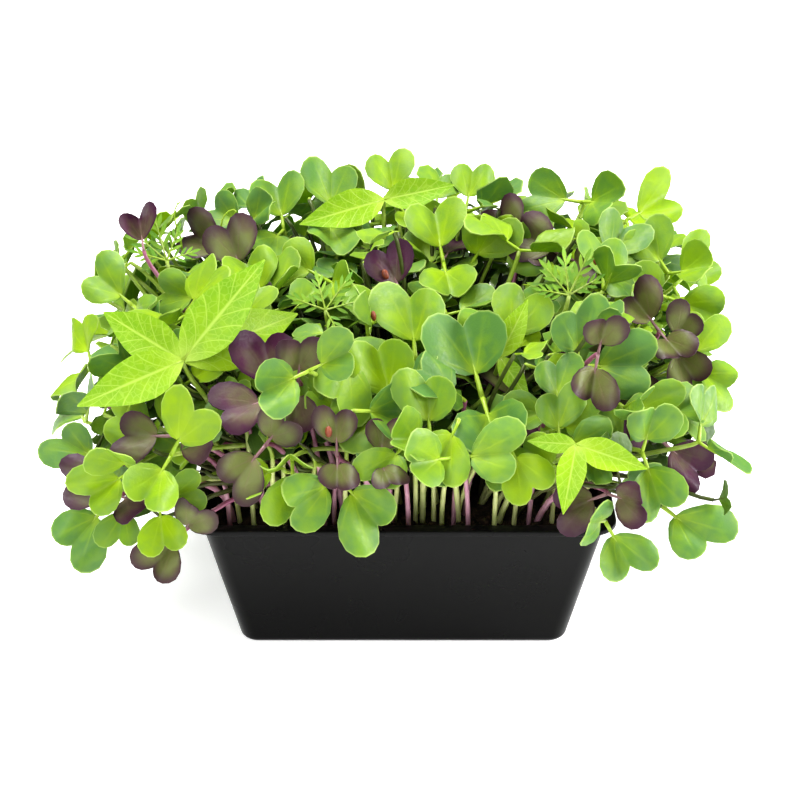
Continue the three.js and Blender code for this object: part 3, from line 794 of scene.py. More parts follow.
# %% Pointed leaves
LANCE_WIDTHS = [
    (0, 0.02), (0.05, 0.075), (0.12, 0.135), (0.25, 0.195), (0.38, 0.215), (0.55, 0.19), (0.7, 0.14),
    (0.85, 0.075), (0.95, 0.028), (1, 0.006),
]
LOBE_WIDTHS = [(0, 0.04), (0.3, 0.11), (0.55, 0.13), (0.8, 0.09), (1, 0.01)]
LANCE_GRID = (14, 8)
LOBE_GRID = (5, 2)
LANCE_STALK = {"stations": [0, 0.3, 0.92], "radii": [0.022, 0.014, 0.004], "sinks": [0, 0.008, 0.008]}


def straight_shape(widths):
    def shape(along, across):
        return (along, across * np.interp(along, *zip(*widths)), 0)

    return shape


lance_leaf = blade_pattern("pointed_leaf", LANCE_GRID, straight_shape(LANCE_WIDTHS))
give_stalk(lance_leaf, **LANCE_STALK)
lance_points = points_of(lance_leaf)
lobe = blade_pattern("lobe", LOBE_GRID, straight_shape(LOBE_WIDTHS))
lobe_points = points_of(lobe)
print("pointed leaf faces", faces_of(lance_leaf), "lobe faces", faces_of(lobe))

# %% [markdown]
# ## Reading the crop
#
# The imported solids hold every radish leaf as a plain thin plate, and each plate's two faces are fans of
# triangles round a middle point. So a leaf can be found again: its middle is a point where eleven triangles
# meet, with a twin on the other face. The ring round it gives the foot, the notch, the length, and how the
# leaf folds and droops. From below it would fold the other way, so only the upper face is kept.

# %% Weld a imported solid
PLATE = 0.8 * MM
PLATE_TOLERANCE = 0.005 * MM
FAN_SIZE = 11
WELD_DIGITS = 7


def welded(name):
    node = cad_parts[name]
    corners = np.empty(len(node.data.loops), int)
    node.data.loops.foreach_get("vertex_index", corners)
    points, place = np.unique(np.round(points_of(node), WELD_DIGITS), axis=0, return_inverse=True)
    return points, place.reshape(-1)[corners].reshape(-1, 3)


def leaf_middles(points, triangles):
    fans = np.bincount(triangles.ravel(), minlength=len(points))
    hubs = np.where(fans >= FAN_SIZE)[0]
    pairs = []
    for a in hubs:
        for b in hubs:
            apart = np.linalg.norm(points[a] - points[b])
            if a != b and fans[a] == FAN_SIZE and abs(apart - PLATE) < PLATE_TOLERANCE:
                pairs.append((a, b))
    return pairs


def ring_round(triangles, hub):
    following = {}
    for triangle in triangles[(triangles == hub).any(axis=1)]:
        first = list(triangle).index(hub)
        following[triangle[(first + 1) % 3]] = triangle[(first + 2) % 3]
    ring = [next(iter(following))]
    while len(ring) < len(following):
        ring.append(following[ring[-1]])
    return ring


print("leaf faces in one bunch", len(leaf_middles(*welded("radish_green_01"))))

# %% Read leaves and seedlings
Leaf = namedtuple("Leaf", "along upper length fold droop")
Seedling = namedtuple("Seedling", "joint axis leaves")
NOTCH_SHARE = PETIOLE_SHARE + 0.85
REACH_SHARE = 1.36
WIDEST_POINTS = 4


def unit(vector):
    return vector / np.linalg.norm(vector)


def read_leaf(points, triangles, hub, twin):
    ring = ring_round(triangles, hub)
    places = points[ring]
    gaps = np.linalg.norm(places - np.roll(places, 1, axis=0), axis=1)
    start = int(np.argmin(gaps))
    ring = ring[start:] + ring[:start]
    places = points[ring]
    upper = unit(points[hub] - points[twin])
    joint = (places[0] + places[-1]) / 2 - upper * PLATE / 2
    reach = points[hub] - joint
    along = unit(reach - upper * (reach @ upper))
    length = (places[FAN_SIZE // 2] - joint) @ along / NOTCH_SHARE
    x = (places - joint) @ along
    y = np.abs((places - joint) @ np.cross(upper, along))
    lift = (places - joint) @ upper - PLATE / 2
    droop = -(reach @ upper - PLATE / 2) * REACH_SHARE * length / (reach @ along) ** 2
    widest = np.argsort(y)[-WIDEST_POINTS:]
    fold = np.mean((lift[widest] + droop * x[widest] ** 2 / (REACH_SHARE * length)) / y[widest])
    return tuple(sorted((ring[0], ring[-1]))), joint, Leaf(along, upper, length, fold, droop)


def read_seedlings(name):
    points, triangles = welded(name)
    found = {}
    for hub, twin in leaf_middles(points, triangles):
        foot, joint, leaf = read_leaf(points, triangles, hub, twin)
        if leaf.fold > 0:
            found.setdefault(foot, []).append((joint, leaf))
    seedlings = []
    for leaves in found.values():
        joint = np.mean([j for j, _ in leaves], axis=0)
        axis = unit(np.sum([leaf.upper for _, leaf in leaves], axis=0))
        seedlings.append(Seedling(joint, axis, [leaf for _, leaf in leaves]))
    return points, seedlings


crop = {name: read_seedlings(name) for name in sorted(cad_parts) if name.startswith("radish")}
read_leaves = [seedling.leaves for _, seedlings in crop.values() for seedling in seedlings]
print("seedlings", len(read_leaves), "leaves", sum(len(pair) for pair in read_leaves))

# %% [markdown]
# ## Growing a seedling
#
# A stem leaves the soil, leans the way its leaves went, and bends into the joint. Its path is one cubic
# curve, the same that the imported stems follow. The leaf pattern is laid on the directions that were read,
# then folded along its midrib, drooped towards its end and gently waved, as real seed leaves are.

# %% Stems along a path
STEM_LEANS = (0.2, 0.05, 0.34)
STEM_RISE = 0.55
OVER_RIM = 64.5 * MM
NECK = 7 * MM
ROOT_DEPTH = 2.2 * MM
STEM_RADII = (0.95 * MM, 0.6 * MM)
ASKEW = (0.3, 1, 0.1)


def stem_path(root, joint, axis, lean, steps=STEM_STEPS):
    rising = root + (joint - root) * lean
    rising[2] = max(root[2] + STEM_RISE * (joint[2] - root[2]), OVER_RIM)
    corners = [root - (0, 0, ROOT_DEPTH), rising, joint - axis * NECK, joint]
    t = np.linspace(0, 1, steps + 1)[:, None]
    weights = [(1 - t) ** 3, 3 * t * (1 - t) ** 2, 3 * t**2 * (1 - t), t**3]
    return sum(w * c for w, c in zip(weights, corners))


def tube_along(path, radii, shape):
    heading = np.gradient(path, axis=0)
    heading /= np.linalg.norm(heading, axis=1)[:, None]
    side = unit(np.cross(heading[0], ASKEW))
    sides = []
    for direction in heading:
        side = unit(side - direction * (side @ direction))
        sides.append(side)
    sides = np.array(sides)
    others = np.cross(heading, sides)
    steps = len(path) - 1
    ring = np.rint(shape[:, 0] * steps).astype(int)
    radius = np.linspace(*radii, steps + 1)[ring, None]
    return path[ring] + radius * (shape[:, 1:2] * sides[ring] + shape[:, 2:3] * others[ring])


def stem_along(path, finish, radii=STEM_RADII, tint=None, pattern=stem_pattern):
    shape = points_of(pattern)
    tints = shape[:, 0] if tint is None else tint
    return copy_of(pattern, tube_along(path, radii, shape), tints, [finish])


print("stem radii in mm", [round(radius / MM, 2) for radius in STEM_RADII])

# %% Leaves that bend
FOLD_EASE = 0.1
LOBE_SHARE = 0.5
SKEW_SHARPNESS = 4
WAVE_RATE = 5
FOLD_GAINS = (1.0, 2.8)
DOMES = (0.6, 2.2)
WAVES = (0.05, 0.15)
PHASES = (0, 6)
SKEWS = (-0.14, 0.14)
BENDS = (DOMES, WAVES, PHASES, SKEWS)
grow_draw = random.Random(11)


def leaf_bent(pattern_points, joint, leaf, dome=0.0, wave=0.0, phase=0.0, skew=0.0):
    x, y, z = (pattern_points * leaf.length).T
    lobe_gain = 1 + skew * np.tanh(SKEW_SHARPNESS * y / leaf.length)
    x, y = x * lobe_gain, y * lobe_gain
    ease = FOLD_EASE * leaf.length
    out = np.sqrt(y**2 + ease**2) - ease
    lift = leaf.fold * out - leaf.droop * x**2 / (REACH_SHARE * leaf.length)
    lift += dome * out * (LOBE_SHARE - out / leaf.length)
    lift += wave * x * np.sin(phase + WAVE_RATE * y / leaf.length)
    across = np.cross(leaf.upper, leaf.along)
    return joint + np.outer(x, leaf.along) + np.outer(y, across) + np.outer(lift + z, leaf.upper)


def grown(seedling, path, finishes, tints):
    leaf, stem, stalk = finishes
    pieces = [stem_along(path, stem)]
    for blade in seedling.leaves:
        bends = [grow_draw.uniform(*span) for span in BENDS]
        folded = blade._replace(fold=blade.fold * grow_draw.uniform(*FOLD_GAINS))
        points = leaf_bent(heart_points, seedling.joint, folded, *bends)
        pieces.append(copy_of(heart_leaf, points, grow_draw.uniform(*tints), [leaf, stalk]))
    return pieces


print("leaf folds times", FOLD_GAINS)

# %% [markdown]
# A bunch is several seedlings from one root. The root is the bunch's lowest stretch inside the soil. Of the
# three ways that a stem may lean, each seedling takes the one that runs closest to its packed stem. The
# seedlings of a bunch have nearly the same tint, as neighbours often do.

# %% Grow the radish bunches
ROOT_SLICE = 1.5 * MM
STEM_MIDDLE = slice(3, 10)
CLOSEST_POINTS = 3
GREEN_TINTS = (0.1, 0.75)
PURPLE_TINTS = (0.1, 1.0)
BUNCH_SPREAD = 0.12


def root_of(points):
    inside = points[np.all(abs(points[:, :2]) < np.array(soil_high)[:2], axis=1)]
    low = inside[inside[:, 2] < inside[:, 2].min() + ROOT_SLICE]
    return np.array([*low[:, :2].mean(axis=0), SOIL_TOP * MM])


def nearest_path(joint, axis, points):
    root = root_of(points)

    def gap(lean):
        path = stem_path(root, joint, axis, lean)[STEM_MIDDLE]
        apart = np.linalg.norm(path[:, None] - points[None], axis=2)
        return np.sort(apart, axis=1)[:, :CLOSEST_POINTS].mean()

    return stem_path(root, joint, axis, min(STEM_LEANS, key=gap))


def radish_bunch(name):
    points, seedlings = crop[name]
    purple = "purple" in name
    tint = grow_draw.uniform(*(PURPLE_TINTS if purple else GREEN_TINTS))
    tints = (tint - BUNCH_SPREAD, tint + BUNCH_SPREAD)
    pieces = []
    for seedling in seedlings:
        path = nearest_path(seedling.joint, seedling.axis, points)
        pieces += grown(seedling, path, PURPLE if purple else GREEN, tints)
    slot = "radish_purple_leaf" if purple else "radish_green_leaf"
    return joined(pieces, name + "_seedlings", slot, name)


bunches = [radish_bunch(name) for name in crop]
print("radish bunches", len(bunches), "faces", faces_of(*bunches))

# %% [markdown]
# ## Mung beans and cress
#
# These few have lists of their own: where the stem ends, and for each leaf the way it points in the
# picture's plane, how far it leans towards the viewer, and how long it is. The three directions of the view
# turn those angles into space.

# %% Mung beans
MUNG_BEANS = {
    "mung_bean_1": ((-60, -37, 93), [(51, 5, 35), (204, 12, 31), (150, -22, 30), (24, -25, 38)]),
    "mung_bean_2": ((46, -56, 77), [(-101, 8, 19), (-19, 8, 20), (176, 0, 13)]),
    "mung_bean_3": ((-6, 42, 110), [(198, 22, 27), (12, 0, 22)]),
    "mung_bean_4": ((27, -20, 86), [(64, 5, 18), (-56, 12, 15)]),
}
BEAN_FOLDS = (0.15, 0.3)
BEAN_DROOPS = (0.05, 0.15)
BEAN_DOME = 0.4
BEAN_WAVE = 0.03
BEAN_TINTS = (0.3, 0.8)
UP = np.array([0.0, 0.0, 1.0])
view_right = np.array([1.0, 0.0, 0.0])
view_up = np.array([0.0, math.sin(VIEW_ELEVATION), math.cos(VIEW_ELEVATION)])


def seen_leaf(turn, lean, length, fold, droop):
    turn, lean = math.radians(turn), math.radians(lean)
    flat = view_right * math.cos(turn) + view_up * math.sin(turn)
    along = flat * math.cos(lean) + np.array(view_out) * math.sin(lean)
    upper = np.array(view_out) * math.cos(lean) - flat * math.sin(lean)
    return Leaf(along, upper, length * MM, fold, droop)


def upright_stem(name, joint):
    points, _ = welded(name)
    return stem_along(nearest_path(joint, UP, points), pale_stem)


def mung_bean(name):
    place, leaves = MUNG_BEANS[name]
    joint = np.array(place) * MM
    blades = []
    for leaf in leaves:
        fold, droop = grow_draw.uniform(*BEAN_FOLDS), grow_draw.uniform(*BEAN_DROOPS)
        blades.append(seen_leaf(*leaf, fold, droop))
    pieces = [upright_stem(name, joint)]
    for blade in blades:
        bent = leaf_bent(lance_points, joint, blade, BEAN_DOME, BEAN_WAVE, grow_draw.uniform(*PHASES))
        tint = grow_draw.uniform(*BEAN_TINTS)
        pieces.append(copy_of(lance_leaf, bent, tint, [bean_leaf, green_stalk]))
    return joined(pieces, name + "_plant", "mung_bean_leaf", name)


beans = [mung_bean(name) for name in MUNG_BEANS]
print("mung beans", len(beans), "faces", faces_of(*beans))

# %% [markdown]
# A cress leaf is a thin rib with narrow lobes on both sides. One lobe could be drawn with its neighbours as
# one outline, but separate lobes on a rib bend and shade as the real ones do.

# %% Cress
CRESS = {
    "cress_1": ((-22, -12, 97), [(15, 10, 9), (55, 0, 10), (105, -10, 9), (160, 10, 9), (-60, 20, 8)]),
    "cress_2": ((47, -6, 99), [(30, 0, 9), (65, 10, 11), (95, -15, 11), (130, 5, 10), (170, 10, 8)]),
    "cress_3": ((-70, 20, 99), [(70, 0, 9), (105, 10, 12), (140, 5, 13), (165, 15, 9), (20, -10, 8)]),
}
LOBES = [
    (0.28, 42, 0.44), (0.34, -42, 0.44), (0.52, 36, 0.42), (0.58, -36, 0.42), (0.74, 28, 0.4),
    (0.8, -28, 0.4), (0.9, 0, 0.44),
]
LOBE_TINTS = (0.2, 0.9)
RIB_RADII = (0.35 * MM, 0.15 * MM)
RIB_TINT = 0.8
CRESS_FOLD = 0.2
CRESS_DROOP = 0.1


def cut_leaf(joint, leaf):
    across = np.cross(leaf.upper, leaf.along)
    rib = joint + np.outer(np.linspace(0, leaf.length, STEM_STEPS + 1), leaf.along)
    pieces = [stem_along(rib, pale_stem, RIB_RADII, RIB_TINT)]
    for station, turn, share in LOBES:
        turn = math.radians(turn)
        along = leaf.along * math.cos(turn) + across * math.sin(turn)
        small = Leaf(along, leaf.upper, share * leaf.length, CRESS_FOLD, CRESS_DROOP)
        points = leaf_bent(lobe_points, joint + leaf.along * leaf.length * station, small)
        pieces.append(copy_of(lobe, points, grow_draw.uniform(*LOBE_TINTS), [cress_leaf]))
    return pieces


def cress_sprig(name):
    place, leaves = CRESS[name]
    joint = np.array(place) * MM
    pieces = [upright_stem(name, joint)]
    for leaf in leaves:
        pieces += cut_leaf(joint, seen_leaf(*leaf, CRESS_FOLD, CRESS_DROOP))
    return joined(pieces, name + "_sprig", "cress_leaf", name)


sprigs = [cress_sprig(name) for name in CRESS]
print("cress sprigs", len(sprigs), "faces", faces_of(*sprigs))

# %% [markdown]
# ## Small things
#
# A few empty seed hulls still cling to the leaves that shed them: a sphere pressed to the shape of a grain
# and laid on the blade. Two thin tendrils curl above the crop, the stem tube again on a winding path, and
# one folded purple leaf on a pink stem stands up at the left.

# %% Seed hulls
HULL_BUNCHES = [
    "radish_purple_05", "radish_purple_12", "radish_green_12", "radish_green_25", "radish_green_15",
]
HULL_SIZE = np.array([1.6, 1.0, 0.8]) * MM
HULL_SPOT = np.array([[PETIOLE_SHARE + 0.32, 0.24, 0.03]])
HULL_RISE = 6 * MM


def hull_pattern():
    grain = started("hull", bpy.ops.mesh.primitive_ico_sphere_add, subdivisions=2, radius=1)
    bpy.ops.object.shade_smooth()
    husk = Finish("seed_husk", Roughness=0.5)
    husk.feed("Base Color", husk.mix(husk.noise(900), (0.12, 0.02, 0.012), (0.3, 0.08, 0.03)))
    grain.data.materials.append(husk.material)
    add_tint(grain)
    return grain


def hull_on(name):
    seedling = crop[name][1][0]
    leaf = seedling.leaves[0]
    points = points_of(bpy.data.objects[name + "_seedlings"])
    apart = points - leaf_bent(HULL_SPOT, seedling.joint, leaf)
    rise = apart @ leaf.upper
    aside = np.linalg.norm(apart - np.outer(rise, leaf.upper), axis=1)
    landing = np.where(abs(rise) < HULL_RISE, aside, np.inf).argmin()
    spot = points[landing] + leaf.upper * HULL_SIZE[2]
    directions = np.array([leaf.along, np.cross(leaf.upper, leaf.along), leaf.upper])
    return copy_of(hull, spot + (hull_shape * HULL_SIZE) @ directions, 0, hull.data.materials)


hull = hull_pattern()
hull_shape = points_of(hull)
hulls = joined([hull_on(name) for name in HULL_BUNCHES], "seed_hulls", "radish_purple_leaf")
bpy.data.objects.remove(hull)
print("seed hulls", len(HULL_BUNCHES), "faces", faces_of(hulls))

# %% Tendrils and a pink seedling
TENDRILS = [((-56, 26, 101), (-51, 27, 114)), ((-66, 26, 100), (-68, 27, 117))]
TENDRIL_RADII = (0.4 * MM, 0.15 * MM)
TENDRIL_TINT = 0.5
CURL = 2.5 * MM
CURL_DEPTH = 0.3
CURL_ANGLE = 9
PINK_JOINT = np.array([-75, 8, 107]) * MM
PINK_ROOT = np.array([-44, 8, SOIL_TOP]) * MM
PINK_LEAF = {"turn": 100, "lean": -10, "length": 9, "fold": 0.9, "droop": 0.05}
PINK_TINTS = (0.2, 0.3)


def tendril(foot, tip):
    t = np.linspace(0, 1, STEM_STEPS + 1)[:, None]
    ends = np.array([foot, tip]) * MM
    angle = CURL_ANGLE * t
    curl = CURL * t**2 * np.hstack([np.sin(angle), CURL_DEPTH * np.cos(angle), np.cos(angle)])
    path = ends[0] + (ends[1] - ends[0]) * t + curl
    return stem_along(path, green_stalk, TENDRIL_RADII, TENDRIL_TINT)


curls = joined([tendril(*ends) for ends in TENDRILS], "tendrils", "cress_leaf")
pink = Seedling(PINK_JOINT, UP, [seen_leaf(**PINK_LEAF)])
pink_path = stem_path(PINK_ROOT, pink.joint, pink.axis, STEM_LEANS[0])
pink_pieces = grown(pink, pink_path, PURPLE, PINK_TINTS)
pink_seedling = joined(pink_pieces, "pink_seedling", "radish_purple_leaf")
print("tendril faces", faces_of(curls), "pink seedling faces", faces_of(pink_seedling))

# %% [markdown]
# ## Room among the leaves
#
# The real crop is far denser than its largest seedlings. More of them are fitted into the gaps, and a grid
# of small cells remembers what is already taken, so that new leaves stay clear of the others. A cell and
# its neighbours are marked for every point of a piece.

# %% Cells that are taken
CELL = 1.0 * MM
ROOM_MARGIN = 12 * MM
room_low = np.array(cad_low) - ROOM_MARGIN
room_size = (np.array(cad_high) + ROOM_MARGIN - room_low) / CELL
room = np.zeros(np.ceil(room_size).astype(int), bool)
AROUND = np.array([(i, j, k) for i in (-1, 0, 1) for j in (-1, 0, 1) for k in (-1, 0, 1)])


def cells_of(points):
    cells = np.floor((points - room_low) / CELL).astype(int)
    return np.clip(cells, 1, np.array(room.shape) - 2)


def take_room(points):
    cells = (cells_of(points)[:, None] + AROUND[None]).reshape(-1, 3)
    room[tuple(cells.T)] = True


def share_taken(points):
    return room[tuple(cells_of(points).T)].mean()


for piece in bunches + beans + sprigs + [pink_seedling]:
    take_room(points_of(piece))
print("taken cells", int(room.sum()), "of", room.size)

# %% [markdown]
# The large seedlings are the ones that the viewer sees, so little may grow between them and the viewer.
# Every point of a large leaf is noted by the ray it lies on, with its distance, and a new leaf is turned
# away where more than a small share of it would stand in front.

# %% Lines of sight
RAYS_PER_UNIT = 420
RAY_LIMIT = 110
eye = np.array(camera.location)
view_forward = -np.array(view_out)
nearest_leaf = np.zeros((2 * RAY_LIMIT, 2 * RAY_LIMIT))


def rays_of(points):
    sight = points - eye
    distance = sight @ view_forward
    across = np.rint(sight @ view_right / distance * RAYS_PER_UNIT).astype(int) + RAY_LIMIT
    upwards = np.rint(sight @ view_up / distance * RAYS_PER_UNIT).astype(int) + RAY_LIMIT
    return across, upwards, distance


def note_sight(points):
    across, upwards, distance = rays_of(points)
    order = np.argsort(-distance)
    rays, far = (across[order], upwards[order]), distance[order]
    known = nearest_leaf[rays]
    nearest_leaf[rays] = np.where(known > 0, np.minimum(known, far), far)


def share_hiding(points):
    across, upwards, distance = rays_of(points)
    return np.mean(distance < nearest_leaf[across, upwards])


for piece in bunches + beans + sprigs:
    note_sight(points_of(piece))
print("noted rays", int((nearest_leaf > 0).sum()))

# %% [markdown]
# ## Undergrowth
#
# Smaller seedlings fill the crop in layers below its top. A lighter leaf and a slimmer stem do for them,
# because there are hundreds. The top of the crop is a flat dome, and a seedling below it leans the way the
# dome does.

# %% Lighter leaf and stem
SMALL_GRID = (2, 12)
SLIM_SIDES = 5
SLIM_STEPS = 8
SAMPLES_ALONG = np.linspace(0, 1, 6)
SAMPLES_ACROSS = np.linspace(-1, 1, 11)
small_leaf = blade_pattern("small_seed_leaf", SMALL_GRID, heart_shape)
give_stalk(small_leaf, **HEART_STALK, sides=4, steps=2)
slim_stem = tube_pattern("slim_stem", SLIM_SIDES, SLIM_STEPS)
leaf_samples = np.array([heart_shape(u, v) for u in SAMPLES_ALONG for v in SAMPLES_ACROSS])
print("small leaf faces", faces_of(small_leaf), "slim stem faces", faces_of(slim_stem))

# %% The crop's top
CROP_HALF_WIDTH = 97
CROP_HALF_DEPTH = 70
CROP_SQUARENESS = 3
CROP_EDGE = 66
CROP_RISE = 38
CROP_FLATNESS = 2.5
CROP_BACK_SLOPE = 0.1
EDGE_TILT = math.radians(58)


def crop_share(x, y):
    across, back = abs(x) / CROP_HALF_WIDTH, abs(y) / CROP_HALF_DEPTH
    return (across**CROP_SQUARENESS + back**CROP_SQUARENESS) ** (1 / CROP_SQUARENESS)


def crop_top(x, y):
    share = min(crop_share(x, y), 1)
    return CROP_EDGE + CROP_RISE * math.sqrt(1 - share**CROP_FLATNESS) + CROP_BACK_SLOPE * y


def crop_axis(x, y):
    tilt = EDGE_TILT * min(crop_share(x, y), 1) ** 2
    heading = math.atan2(y, x)
    out = math.sin(tilt)
    return np.array([math.cos(heading) * out, math.sin(heading) * out, math.cos(tilt)])


print("crop top in mm, middle and edge", round(crop_top(0, 0)), round(crop_top(CROP_HALF_WIDTH, 0)))

# %% [markdown]
# A small seedling is a pair of leaves that spread from its joint in a drawn direction, nearly opposite each
# other. Size, rise, fold and droop are drawn too, so that no two pairs are alike.

# %% A pair of small leaves
SMALL_LENGTHS = (7.5, 14)
SMALL_SIZES = (0.85, 1.1)
SMALL_RISES = (0, 50)
SMALL_FOLDS = (0.15, 0.6)
SMALL_DROOPS = (0.02, 0.25)
PAIR_TURNS = (2.6, 3.6)
PAIR_SLANT = 0.2
fill_draw = random.Random(23)


def small_bend():
    return fill_draw.uniform(*SMALL_FOLDS), fill_draw.uniform(*SMALL_DROOPS)


def pair_at(joint, axis):
    heading = fill_draw.uniform(0, 2 * math.pi)
    side = unit(np.cross(axis, (math.cos(heading), math.sin(heading), PAIR_SLANT)))
    other = np.cross(axis, side)
    length = fill_draw.uniform(*SMALL_LENGTHS) * MM
    leaves = []
    for turn in (0, fill_draw.uniform(*PAIR_TURNS)):
        rise = math.radians(fill_draw.uniform(*SMALL_RISES))
        out = side * math.cos(turn) + other * math.sin(turn)
        along = out * math.cos(rise) + axis * math.sin(rise)
        upper = axis * math.cos(rise) - out * math.sin(rise)
        size = length * fill_draw.uniform(*SMALL_SIZES)
        leaves.append(Leaf(along, upper, size, *small_bend()))
    return Seedling(joint, axis, leaves)


print("small leaves in mm", SMALL_LENGTHS)

# %% [markdown]
# A small leaf stays only if it finds room: not too low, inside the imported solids' box, out of the way of
# the bare stems at the front, mostly in free cells and hardly in front of a large leaf. A few sample points
# on the leaf are enough to tell.

# %% Does a leaf find room
LOWEST_LEAF = 50
LOWEST_JOINT = 53
FILL_SPAN = (-92, 90)
BARE_STEMS = {"half_width": 60, "back": -20, "top": 62}
MOST_HIDING = 0.1


def covers_stems(points):
    x, y, z = points.T / MM
    in_front = (abs(x) < BARE_STEMS["half_width"]) & (y < BARE_STEMS["back"])
    return np.any(in_front & (z < BARE_STEMS["top"]))


def finds_room(spread, most_taken, most_hiding):
    low = spread[:, 2].min() < LOWEST_LEAF * MM
    wide = np.any(spread[:, 0] < FILL_SPAN[0] * MM) or np.any(spread[:, 0] > FILL_SPAN[1] * MM)
    outside = np.any(spread < np.array(cad_low)) or np.any(spread > np.array(cad_high))
    if low or wide or outside or covers_stems(spread):
        return False
    return share_taken(spread) <= most_taken and share_hiding(spread) <= most_hiding


def with_room(seedling, most_taken, most_hiding=MOST_HIDING):
    if seedling.joint[2] < LOWEST_JOINT * MM:
        return None
    kept = []
    for leaf in seedling.leaves:
        spread = leaf_bent(leaf_samples, seedling.joint, leaf)
        if finds_room(spread, most_taken, most_hiding):
            kept.append(leaf)
    return seedling._replace(leaves=kept) if kept else None


print("sample points", len(leaf_samples))

# %% Grow a small seedling
SMALL_STEM_RADII = (0.8 * MM, 0.6 * MM)
SMALL_TINTS = (0.0, 0.9)
TINT_JITTER = 0.1
ROOT_PULL = 0.55
ROOT_REACH = (50, 36)
ROOT_JITTER = 5


def jitter(most):
    return fill_draw.uniform(-most, most)


def root_below(joint):
    pulled = [place / MM * ROOT_PULL + jitter(ROOT_JITTER) for place in joint[:2]]
    x, y = [np.clip(place, -reach, reach) for place, reach in zip(pulled, ROOT_REACH)]
    return np.array([x, y, SOIL_TOP]) * MM


def small_seedling(seedling, root, finishes, pattern=small_leaf):
    leaf, stem, stalk = finishes
    path = stem_path(root, seedling.joint, seedling.axis, fill_draw.choice(STEM_LEANS), SLIM_STEPS)
    pieces = [stem_along(path, stem, SMALL_STEM_RADII, pattern=slim_stem)]
    tint = fill_draw.uniform(*SMALL_TINTS)
    for blade in seedling.leaves:
        bends = [fill_draw.uniform(*span) for span in BENDS]
        points = leaf_bent(points_of(pattern), seedling.joint, blade, *bends)
        take_room(points)
        pieces.append(copy_of(pattern, points, tint + jitter(TINT_JITTER), [leaf, stalk]))
    return pieces


print("small stems in mm", [2 * radius / MM for radius in SMALL_STEM_RADII])

# %% [markdown]
# The front is what the viewer looks at, so it gets two rows of its own. First, a few seedlings stand where
# the picture shows a leaf between the large ones: each entry gives the place, the way the leaf points, its
# lean and its length.

# %% Front leaves
FRONT_LEAVES = [
    (-9, -48, 83, 0, -15, 13.5), (60, -41, 70, 85, 0, 13), (-15, -37, 91, -110, 30, 14),
    (44, -43, 76, 20, -10, 13), (-62, -37, 66, -150, 20, 13), (13, -54, 79, -115, 10, 12),
    (-77, -50, 53, -100, 0, 10), (30, -54, 72, -60, 15, 12), (-2, -54, 73, -130, 20, 11),
    (40, -52, 69, 150, 10, 11), (22, 25, 99, 60, 25, 14), (31, 28, 98, 10, 25, 13),
    (36, 35, 97, 100, 20, 12),
]
PAIR_RISE = math.radians(22)


def front_leaf(x, y, z, turn, lean, length):
    leaf = seen_leaf(turn, lean, length, *small_bend())
    joint = np.array([x, y, z]) * MM - PETIOLE_SHARE * leaf.length * leaf.along
    axis = leaf.upper * math.cos(PAIR_RISE) + leaf.along * math.sin(PAIR_RISE)
    return Seedling(joint, axis, [leaf])


front = []
for place in FRONT_LEAVES:
    seedling = front_leaf(*place)
    front += small_seedling(seedling, root_below(seedling.joint), GREEN, heart_leaf)
print("front leaves", len(FRONT_LEAVES))

# %% [markdown]
# Then a row of slim seedlings rises straight from the soil behind the lip, so that pale and pink stems show
# there one beside the other with dark gaps between them.

# %% Front stems
ROW_SPAN = (-50, 52)
ROW_SPACING = 3.4
ROW_ROOTS = (-38.5, -33)
ROW_DEPTHS = (-52, -36)
ROW_HEIGHTS = (64, 88)
ROW_SPREAD = 1.1
ROW_JITTER = 1
PLACE_JITTER = 4
PINK_SHARE = 0.35
FRONT_TAKEN = 0.25
FRONT_HIDING = 0.2
FILL_TRIES = 10


def front_stem(x):
    for _ in range(FILL_TRIES):
        y, z = fill_draw.uniform(*ROW_DEPTHS), fill_draw.uniform(*ROW_HEIGHTS)
        px = ROW_SPREAD * x + jitter(PLACE_JITTER)
        pair = pair_at(np.array([px, y, z]) * MM, unit(crop_axis(px, y)))
        seedling = with_room(pair, FRONT_TAKEN, FRONT_HIDING)
        if seedling:
            return seedling
    return None


for x in np.arange(*ROW_SPAN, ROW_SPACING):
    root = np.array([x + jitter(ROW_JITTER), fill_draw.uniform(*ROW_ROOTS), SOIL_TOP]) * MM
    finishes = PINK if fill_draw.random() < PINK_SHARE else GREEN
    seedling = front_stem(x)
    if seedling:
        front += small_seedling(seedling, root, finishes)

front_row = joined(front, "front_row", "radish_green_leaf")
note_sight(points_of(front_row))
print(front_row.name, "pieces", len(front), "faces", faces_of(front_row))
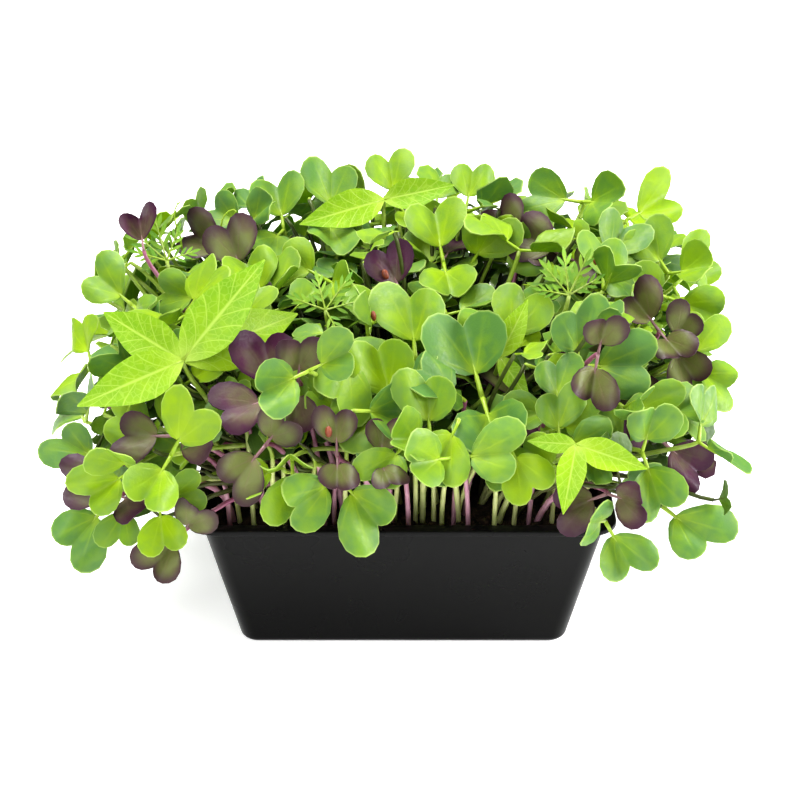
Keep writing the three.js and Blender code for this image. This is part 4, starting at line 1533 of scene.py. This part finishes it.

# %% [markdown]
# The rest is filled layer by layer, each deeper than the one before and allowed to touch a little more. On
# a grid of places, a seedling is tried a few times until both its leaves find room. The deep layers take
# dark leaves and stems, and the shallower ones dark stems except at the sides: painted shade for the little
# light that comes down to them. Now and then a seedling there is purple.

# %% Seedlings in layers
LAYERS = [
    (-9, 8, 0.03), (-2, 8, 0.03), (4, 8, 0.04), (9, 8, 0.1), (14, 8, 0.14), (20, 9, 0.16), (28, 10, 0.16),
]
LAYER_WIDTH = (-96, 96)
LAYER_DEPTH = (-72, 76)
LAYER_THICKNESS = 6
AXIS_JITTER = 0.4
PURPLE_BELOW = 3
PURPLE_SHARE = 0.05
# The depth below which leaves and stems take painted shade, and the distance from the middle beyond which
# stems keep their lit colour.
SHADE_BELOW = 12
LIT_BEYOND = 72


def seedling_near(x, y, depth, most_taken):
    best = None
    for _ in range(FILL_TRIES):
        px, py = x + jitter(PLACE_JITTER), y + jitter(PLACE_JITTER)
        if crop_share(px, py) > 1:
            continue
        below = depth + fill_draw.uniform(0, LAYER_THICKNESS)
        place = np.array([px, py, crop_top(px, py) - below]) * MM
        leaning = crop_axis(px, py) + np.array([jitter(AXIS_JITTER) for _ in range(3)])
        seedling = with_room(pair_at(place, unit(leaning)), most_taken)
        if seedling and len(seedling.leaves) == 2:
            return seedling
        best = best or seedling
    return best


# Painted shade by place: deep seedlings take dark leaves and stems, shallower ones dark stems unless they
# stand at the sides.
def finishes_at(seedling, depth):
    if depth > SHADE_BELOW:
        return SHADED
    return GREEN if abs(seedling.joint[0]) > LIT_BEYOND * MM else DIM


print("layers", len(LAYERS))

# %% Fill the gaps
purple_pieces = []
for number, (depth, spacing, most_taken) in enumerate(LAYERS, 1):
    green_pieces = []
    for x in np.arange(*LAYER_WIDTH, spacing):
        for y in np.arange(*LAYER_DEPTH, spacing):
            seedling = seedling_near(x, y, depth, most_taken)
            if seedling:
                purple = depth > PURPLE_BELOW and fill_draw.random() < PURPLE_SHARE
                finishes = PURPLE if purple else finishes_at(seedling, depth)
                pieces = small_seedling(seedling, root_below(seedling.joint), finishes)
                (purple_pieces if purple else green_pieces).extend(pieces)
    layer = joined(green_pieces, f"undergrowth_green_{number}", "radish_green_leaf")
    print(layer.name, "pieces", len(green_pieces), "faces", faces_of(layer))

purple_layer = joined(purple_pieces, "undergrowth_purple", "radish_purple_leaf")
print(purple_layer.name, "pieces", len(purple_pieces), "faces", faces_of(purple_layer))

# %% [markdown]
# ## Patterns away
#
# The patterns have done their work. They aren't pieces of the object, so they are removed.

# %% Remove the patterns
for pattern in (stem_pattern, slim_stem, heart_leaf, small_leaf, lance_leaf, lobe):
    bpy.data.objects.remove(pattern)
